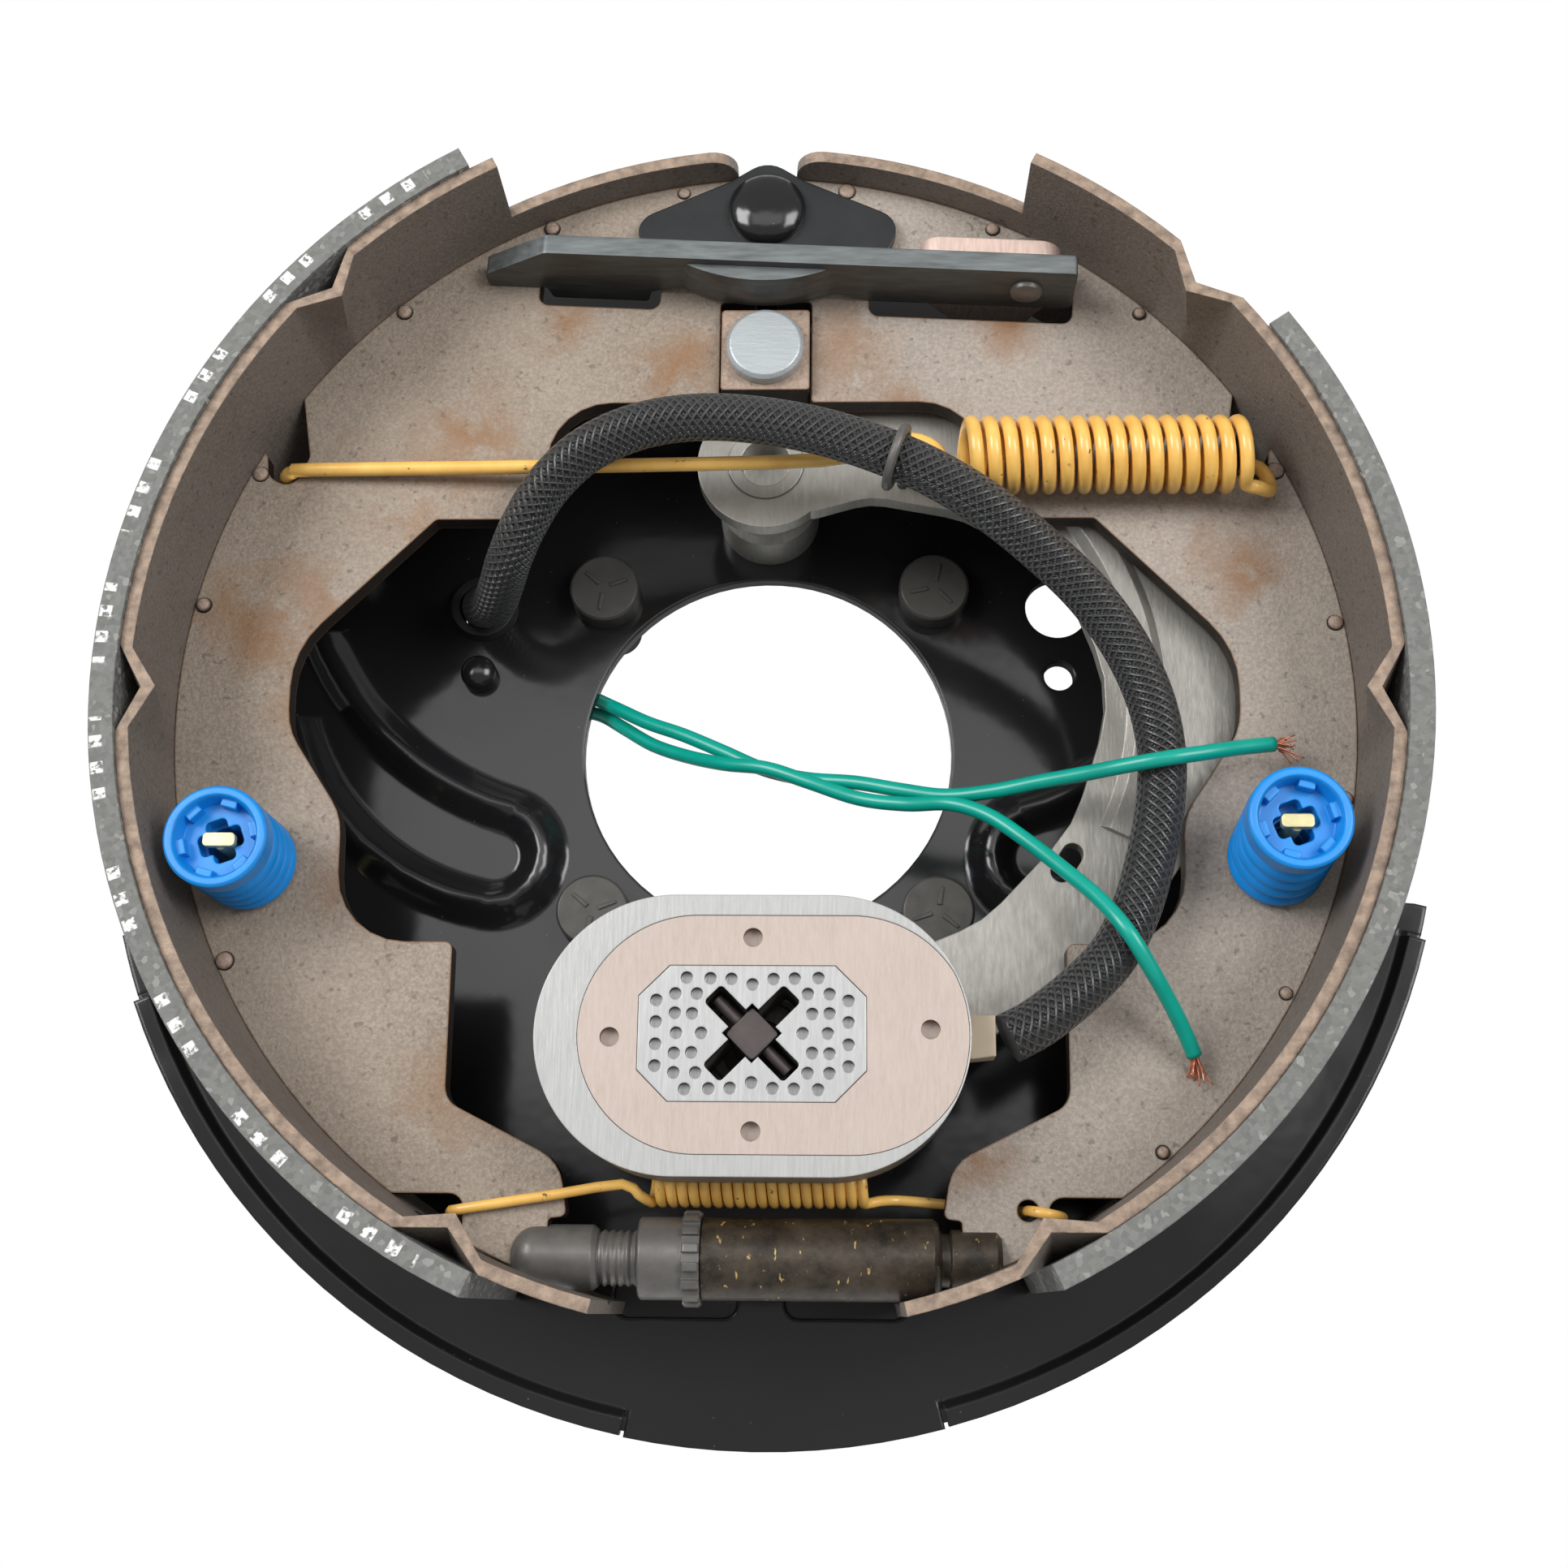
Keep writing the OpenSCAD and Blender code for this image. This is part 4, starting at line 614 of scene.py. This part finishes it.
# The braided conduit, along the route that part.scad gives it
CONDUIT_R, CONDUIT_SIDES = 4.7, 32
CONDUIT = [
    (46.6, -69.2, 50.5), (52.4, -66, 50), (60, -60, 49), (66.8, -53, 48), (71.6, -44, 47.2),
    (74.8, -34, 46.8), (77, -24, 46.5), (77.8, -13, 46.5), (76, -2, 46.6), (71.5, 9, 46.8),
    (64.4, 19.3, 48), (54.8, 28.1, 50.6), (44.6, 35.1, 54.4), (34.5, 40.9, 56.4), (24.4, 45.6, 57),
    (12.5, 50, 56.6), (0, 53, 55.8), (-12.5, 54.3, 54.8), (-24.5, 53, 53.6),
    (-35, 49, 51.6), (-43, 43, 48.2), (-48.6, 36.6, 43.2), (-52.6, 31.8, 36.4),
    (-55.6, 29.4, 28), (-58.4, 28.6, 20), (-61.8, 30.4, 12.5), (-63.6, 32.8, 6),
    (-64, 33.5, 0), (-64, 33.5, -7)]
conduit = tube("braided_conduit", smooth_route(CONDUIT, 8), CONDUIT_R * MM, "braid", CONDUIT_SIDES)
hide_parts("conduit")
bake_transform(conduit)

# The two springs, along the routes that part.scad gives them
WEB_Z, WEB_T, GAP = 39.0, 4.5, 0.3
WEB_MID = WEB_Z - WEB_T / 2
UPPER_WIRE, UPPER_D, UPPER_TURNS = 2.9, 16.0, 16
upper_r = (UPPER_D - UPPER_WIRE) / 2
upper_z = WEB_Z + UPPER_D / 2 + GAP
leg = WEB_Z + UPPER_WIRE / 2 + GAP
UPPER_START = [
    (-100.6, 49.6, 31), (-100.6, 49.4, 35), (-99.8, 49.3, 38.8), (-97.6, 49.4, leg), (-94, 49.6, leg + 0.4),
    (-57, 49, leg + 2.4), (-12, 48.6, leg + 4.6), (12, 49, leg + 5.4), (20, 50.6, leg + 5.6),
    (26, 52.6, upper_z - 0.6), (29, 53, upper_z - 0.2), (32, 52.6, upper_z), (35, 50.8, upper_z),
    (37.6, 46.8, upper_z)]
UPPER_END = [
    (99.6, 42.4, upper_z - 0.6), (102.2, 42.8, upper_z - 3), (103.2, 44.6, upper_z - 5.2),
    (102.4, 48, leg + 0.5), (101, 51, 38.6), (100.2, 51.6, 34), (100, 51.6, 31)]
upper_coil = coil(40, 97, 49.4, upper_z, upper_r, UPPER_TURNS, 12)
upper_line = smooth_route(UPPER_START + upper_coil + UPPER_END, 2)
upper = tube("upper_return_spring", upper_line, UPPER_WIRE / 2 * MM, "spring", 14, (0, 1, 0))
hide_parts("upper_spring")
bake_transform(upper)

LOWER_WIRE, LOWER_D, LOWER_TURNS = 2.0, 9.8, 19
STAR_R, ADJUSTER_Y = 8.8, 108.4
lower_r = (LOWER_D - LOWER_WIRE) / 2
lower_y = STAR_R + LOWER_D / 2 + GAP - ADJUSTER_Y
front = WEB_Z + LOWER_WIRE / 2 + GAP
back = WEB_Z - WEB_T - LOWER_WIRE / 2 - GAP
LOWER_START = [
    (-57.6, -100.6, WEB_MID - 5), (-57.4, -100.4, WEB_MID - 1), (-56.4, -100.2, WEB_Z - 0.2),
    (-54.4, -99.9, front), (-36, -97, front), (-24.6, -95.2, front), (-21.6, -97, front - 0.6)]
LOWER_END = [
    (23, lower_y - lower_r + 0.6, WEB_MID - 1.4), (26, -97.4, back + 0.2), (30, -97.6, back),
    (45, -98.8, back), (49, -99.2, back + 0.4), (50.4, -99.4, WEB_MID - 1), (50.8, -99.4, WEB_Z - 0.6),
    (52.4, -99.7, front), (54.6, -100.1, front), (56.6, -100.4, WEB_Z - 0.4), (57.4, -100.5, WEB_MID - 1)]
lower_coil = coil(-19.4, 20.4, lower_y, WEB_MID, lower_r, LOWER_TURNS, 10)
lower_line = smooth_route(LOWER_START + lower_coil + LOWER_END, 2)
lower = tube("lower_adjuster_spring", lower_line, LOWER_WIRE / 2 * MM, "spring", 12, (0, 1, 0))
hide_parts("lower_spring")
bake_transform(lower)

# The two leads, which leave the conduit's rear end and come to the front through the hub hole
LEAD_R, STRAND_R = 1.5, 0.17
LEAD_UPPER = [
    (-64, 35.1, -7), (-64, 35.1, -11.4), (-61.8, 32.4, -15), (-57, 27.4, -15.8),
    (-51, 22.8, -12.6), (-45, 18.8, -8.6), (-38.6, 14.2, -3.6), (-33, 10.4, 0.6),
    (-26, 6, 4.8), (-18, 2, 9), (-9, -3, 13), (0, -8, 16.6), (9, -11, 20),
    (19, -12.8, 23.6), (28, -15.3, 27), (37, -17.8, 31.6), (46, -18, 35.8), (55, -17.4, 40.6),
    (63, -17.2, 45.6), (70, -17, 50.4), (77.4, -16.4, 53.4), (85, -14.8, 51.8),
    (92.5, -12.8, 48.6), (99.5, -11.2, 45.6)]
LEAD_LOWER = [
    (-64, 31.9, -7), (-64, 31.9, -8.6), (-60.6, 28.4, -11.2), (-56, 22.8, -11.8),
    (-51, 18, -11.8), (-45.4, 14.2, -9.8), (-37.8, 11, -5.2), (-32, 6.6, -1),
    (-25, 1.4, 3.4), (-17, -2.8, 8.8), (-8.5, -6.6, 16), (0.5, -9, 21),
    (9.5, -12.8, 23.8), (19.6, -16.8, 25.8), (29, -19, 29.6), (37.6, -20.4, 35.2),
    (45, -23.6, 38), (52, -29.6, 41.6), (58.6, -36.6, 46.4), (64, -43, 51.3),
    (68.6, -50, 54.9), (73, -56.6, 52.4), (76.6, -61.6, 48.4), (80, -67, 44.4),
    (82, -71, 42.2)]


def strands(name, start, heading, count=16, length=6.6):
    """Bare copper strands that splay from a lead's cut end."""
    parts = []
    ahead = Vector(heading).normalized()
    aside = ahead.orthogonal().normalized()
    over = ahead.cross(aside)
    for i in range(count):
        a, r = 2 * math.pi * i / count, 0.75 * math.sqrt(random.random())
        away = aside * math.cos(a) + over * math.sin(a)
        reach = length * random.uniform(0.55, 1.0)
        points, splay = [], random.uniform(0.5, 2.5)
        for k in range(5):
            t = k / 4
            curl = Vector([random.uniform(-0.35, 0.35) * t for _ in range(3)])
            points.append(Vector(start) + ahead * (reach * t - 1.0) + away * (r + splay * t * t) + curl)
        parts.append(tube_parts(smooth_route(points, 3), STRAND_R * MM, 6))
    return make(name, parts, "copper")


for name, route, node, heading in (
        ("upper_lead", LEAD_UPPER, "lead_upper", (1.75, -0.1, -0.75)),
        ("lower_lead", LEAD_LOWER, "lead_lower", (0.3, -1.6, -0.7))):
    line = smooth_route(route, 6)
    lead = tube(name, line, LEAD_R * MM, "teal", 20, (1, 0, 0))
    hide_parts(node)
    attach(lead, "plate")
    ends = strands(name + "_strands", route[-1], heading)
    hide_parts("lead_ends")
    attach(ends, "plate")

# small marks


def ball_parts(x, y, z, radius, height, rows=6, columns=14):
    """Corners, faces and UV of a flattened ball, in metres."""
    verts = [(x, y, z + height)]
    for i in range(1, rows):
        a = math.pi * i / rows
        for k in range(columns):
            b = 2 * math.pi * k / columns
            verts.append((x + radius * math.sin(a) * math.cos(b), y + radius * math.sin(a) * math.sin(b),
                          z + height * math.cos(a)))
    verts.append((x, y, z - height))
    last = len(verts) - 1
    faces = [(0, 1 + k, 1 + (k + 1) % columns) for k in range(columns)]
    for i in range(rows - 2):
        for k in range(columns):
            a, b = 1 + i * columns + k, 1 + i * columns + (k + 1) % columns
            faces.append((a, a + columns, b + columns, b))
    base = 1 + (rows - 2) * columns
    faces += [(last, base + (k + 1) % columns, base + k) for k in range(columns)]
    return verts, faces, [(0.0, 0.0)] * sum(len(f) for f in faces)


def nibs(name, spots, look, body):
    """Flattened weld nibs: x, y, z, radius and height of each, in millimetres."""
    obj = make(name, [ball_parts(*[q * MM for q in spot]) for spot in spots], look)
    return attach(obj, body)


# Each web is welded to its table at this radius, and the shoe's arc is centred this far past the hub's middle
WELD_R, SHOE_INSET = 117.4, 1.2
for side, body, angles in (
        (-1, "secondary_shoe", (170, 207, 155, 132, 114, 99.5)),
        (1, "primary_shoe", (81, 65, 47, 25, 8, -10, -30, -49))):
    spots = []
    for angle in angles:
        a = math.radians(angle)
        x, y = WELD_R * math.cos(a) - side * SHOE_INSET, WELD_R * math.sin(a)
        spots.append((x, y, WEB_Z, random.uniform(1.3, 2.0), random.uniform(0.8, 1.3)))
    nibs(body + "_welds", spots, "block", body)


def bar_parts(centre, turn, start, reach, half, low, high):
    """A low bar that points outward from a centre, narrower at its far end. half is half its width."""
    d = Vector((math.cos(turn), math.sin(turn), 0))
    n = Vector((-math.sin(turn), math.cos(turn), 0))
    corners = ((start, half), (reach, 0.7 * half), (reach, -0.7 * half), (start, -half))
    verts = [centre + d * u + n * w + Vector((0, 0, z)) for z in (low, high) for u, w in corners]
    faces = [(4, 7, 6, 5), (0, 1, 2, 3)] + [(j, 4 + j, 4 + (j + 1) % 4, (j + 1) % 4) for j in range(4)]
    return verts, faces, [(0.0, 0.0)] * 24


def flatten(obj):
    """Shades every face flat."""
    for polygon in obj.data.polygons:
        polygon.use_smooth = False


STUD_PITCH = 73.0
# Side of each stud in X and Y, and the turn of its first bar in degrees
STUDS = ((-1, 1, 20), (1, 1, 75), (-1, -1, 140), (1, -1, 200))
BARS, BAR_START, BAR_END, BAR_HALF, BAR_SUNK, BAR_HEIGHT = 3, 1.4, 5.4, 0.5, 0.1, 0.3


def stud_marks():
    """Low raised bars on each stud's head."""
    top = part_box("mounting_studs")[1].z
    parts = []
    for sx, sy, first_turn in STUDS:
        centre = Vector((sx * STUD_PITCH / 2 * MM, sy * STUD_PITCH / 2 * MM, top))
        for k in range(BARS):
            turn = math.radians(first_turn + 360 / BARS * k)
            parts.append(bar_parts(
                centre, turn, BAR_START * MM, BAR_END * MM, BAR_HALF * MM, -BAR_SUNK * MM, BAR_HEIGHT * MM))
    obj = make("stud_marks", parts, "head")
    flatten(obj)
    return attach(obj, "plate")


# Where the plate's turned-up lip is parted, in degrees, and half of each bridge's width
SEAM_ANGLES, SEAM_HALF = (202.75, 259.15, 284.85, 343.2), 0.5
PLATE_T, BAND_R, BAND_Z, LIP_R, LIP_Z = 3.0, 139.0, 5.0, 143.2, 6.0
# The bridge lies this far under the skin of the lip
SKIN = 0.05
# Radius and height of the lip's section
SEAM_SECTION = (
    (BAND_R - 0.5, BAND_Z - SKIN),
    (BAND_R + 0.2, BAND_Z - SKIN),
    (BAND_R + 1.6, LIP_Z - SKIN),
    (LIP_R - SKIN, LIP_Z - SKIN),
    (LIP_R - SKIN, LIP_Z - PLATE_T + SKIN),
    (BAND_R + 2.6, LIP_Z - PLATE_T + SKIN),
    (BAND_R + 1.2, BAND_Z - PLATE_T + SKIN),
    (BAND_R - 0.5, BAND_Z - PLATE_T + SKIN),
)


def flange_seams():
    """Short bridges that close the hairline slits between the lengths of the plate's turned-up lip."""
    parts = []
    n = len(SEAM_SECTION)
    for angle in SEAM_ANGLES:
        verts = []
        for a in (math.radians(angle - SEAM_HALF), math.radians(angle + SEAM_HALF)):
            verts += [(r * MM * math.cos(a), r * MM * math.sin(a), z * MM) for r, z in SEAM_SECTION]
        faces = [tuple(range(n)), tuple(range(2 * n - 1, n - 1, -1))]
        faces += [(k, n + k, n + (k + 1) % n, (k + 1) % n) for k in range(n)]
        parts.append((verts, faces, [(0.0, 0.0)] * sum(len(f) for f in faces)))
    obj = make("flange_seams", parts, "gloss_black")
    flatten(obj)
    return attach(obj, "plate")


flange_seams()
stud_marks()

# floor, light and camera

FLOOR_SIZE, WORLD_STRENGTH = 6.0, 0.4
bpy.ops.mesh.primitive_plane_add(size=FLOOR_SIZE, location=(0, 0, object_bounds()[0].z))
floor = bpy.context.object
floor.name = "floor"
# The camera sees plain white, and the other rays see a pale matt floor
paint = Graph("white_floor")
white = paint.node("ShaderNodeEmission")
seen = paint.node("ShaderNodeMixShader")
paint.link(paint.node("ShaderNodeLightPath").outputs["Is Camera Ray"], seen.inputs[0])
paint.link(paint.bsdf.outputs[0], seen.inputs[1])
paint.link(white.outputs[0], seen.inputs[2])
paint.link(seen.outputs[0], paint.out.inputs["Surface"])
floor.data.materials.append(paint.done((0.8, 0.8, 0.8), 0.9))

world = bpy.data.worlds.new("studio")
bpy.context.scene.world = world
world.use_nodes = True
background = world.node_tree.nodes["Background"]
background.inputs["Color"].default_value = (1, 1, 1, 1)
background.inputs["Strength"].default_value = WORLD_STRENGTH


def softbox(name, place, aim, width, height, power):
    """A rectangular lamp at a place, turned to its aim, in metres and watts."""
    light = bpy.data.lights.new(name, "AREA")
    light.shape, light.size, light.size_y, light.energy = "RECTANGLE", width, height, power
    lamp = bpy.data.objects.new(name, light)
    bpy.context.scene.collection.objects.link(lamp)
    lamp.location = place
    lamp.rotation_mode = "QUATERNION"
    lamp.rotation_quaternion = (Vector(aim) - Vector(place)).to_track_quat("-Z", "Y")


# A wide, dim panel above shows in the flat gloss; the two keys stand too far aside for it to mirror them
softbox("overhead", (-0.02, 0.24, 1.15), (-0.02, 0.24, 0), 0.85, 0.42, 1.6)
softbox("left", (-0.95, 0.35, 1.1), (0, 0, 0), 0.7, 0.7, 16.5)
softbox("right", (0.95, 0.2, 1.15), (0, 0, 0), 0.7, 0.7, 13)

# Solved from the photograph: places of the studs, hole, magnet, webs and flange, in millimetres and degrees
CAMERA_PLACE = Vector((15.21, -118.07, 393.47))
CAMERA_TARGET = Vector((4.155, -12.082, 20))
CAMERA_ROLL = -5.647
CAMERA_LENS = 42.86
camera = bpy.data.objects.new("camera", bpy.data.cameras.new("camera"))
bpy.context.scene.collection.objects.link(camera)
aim = (CAMERA_TARGET - CAMERA_PLACE).to_track_quat("-Z", "Y").to_matrix().to_4x4()
roll = Matrix.Rotation(math.radians(CAMERA_ROLL), 4, "Z")
camera.matrix_world = Matrix.Translation(CAMERA_PLACE * MM) @ aim @ roll
camera.data.sensor_width = 36.0
camera.data.lens = CAMERA_LENS
camera.data.clip_start, camera.data.clip_end = 0.01, 20.0
bpy.context.scene.camera = camera
bpy.context.scene.view_settings.view_transform = "Standard"
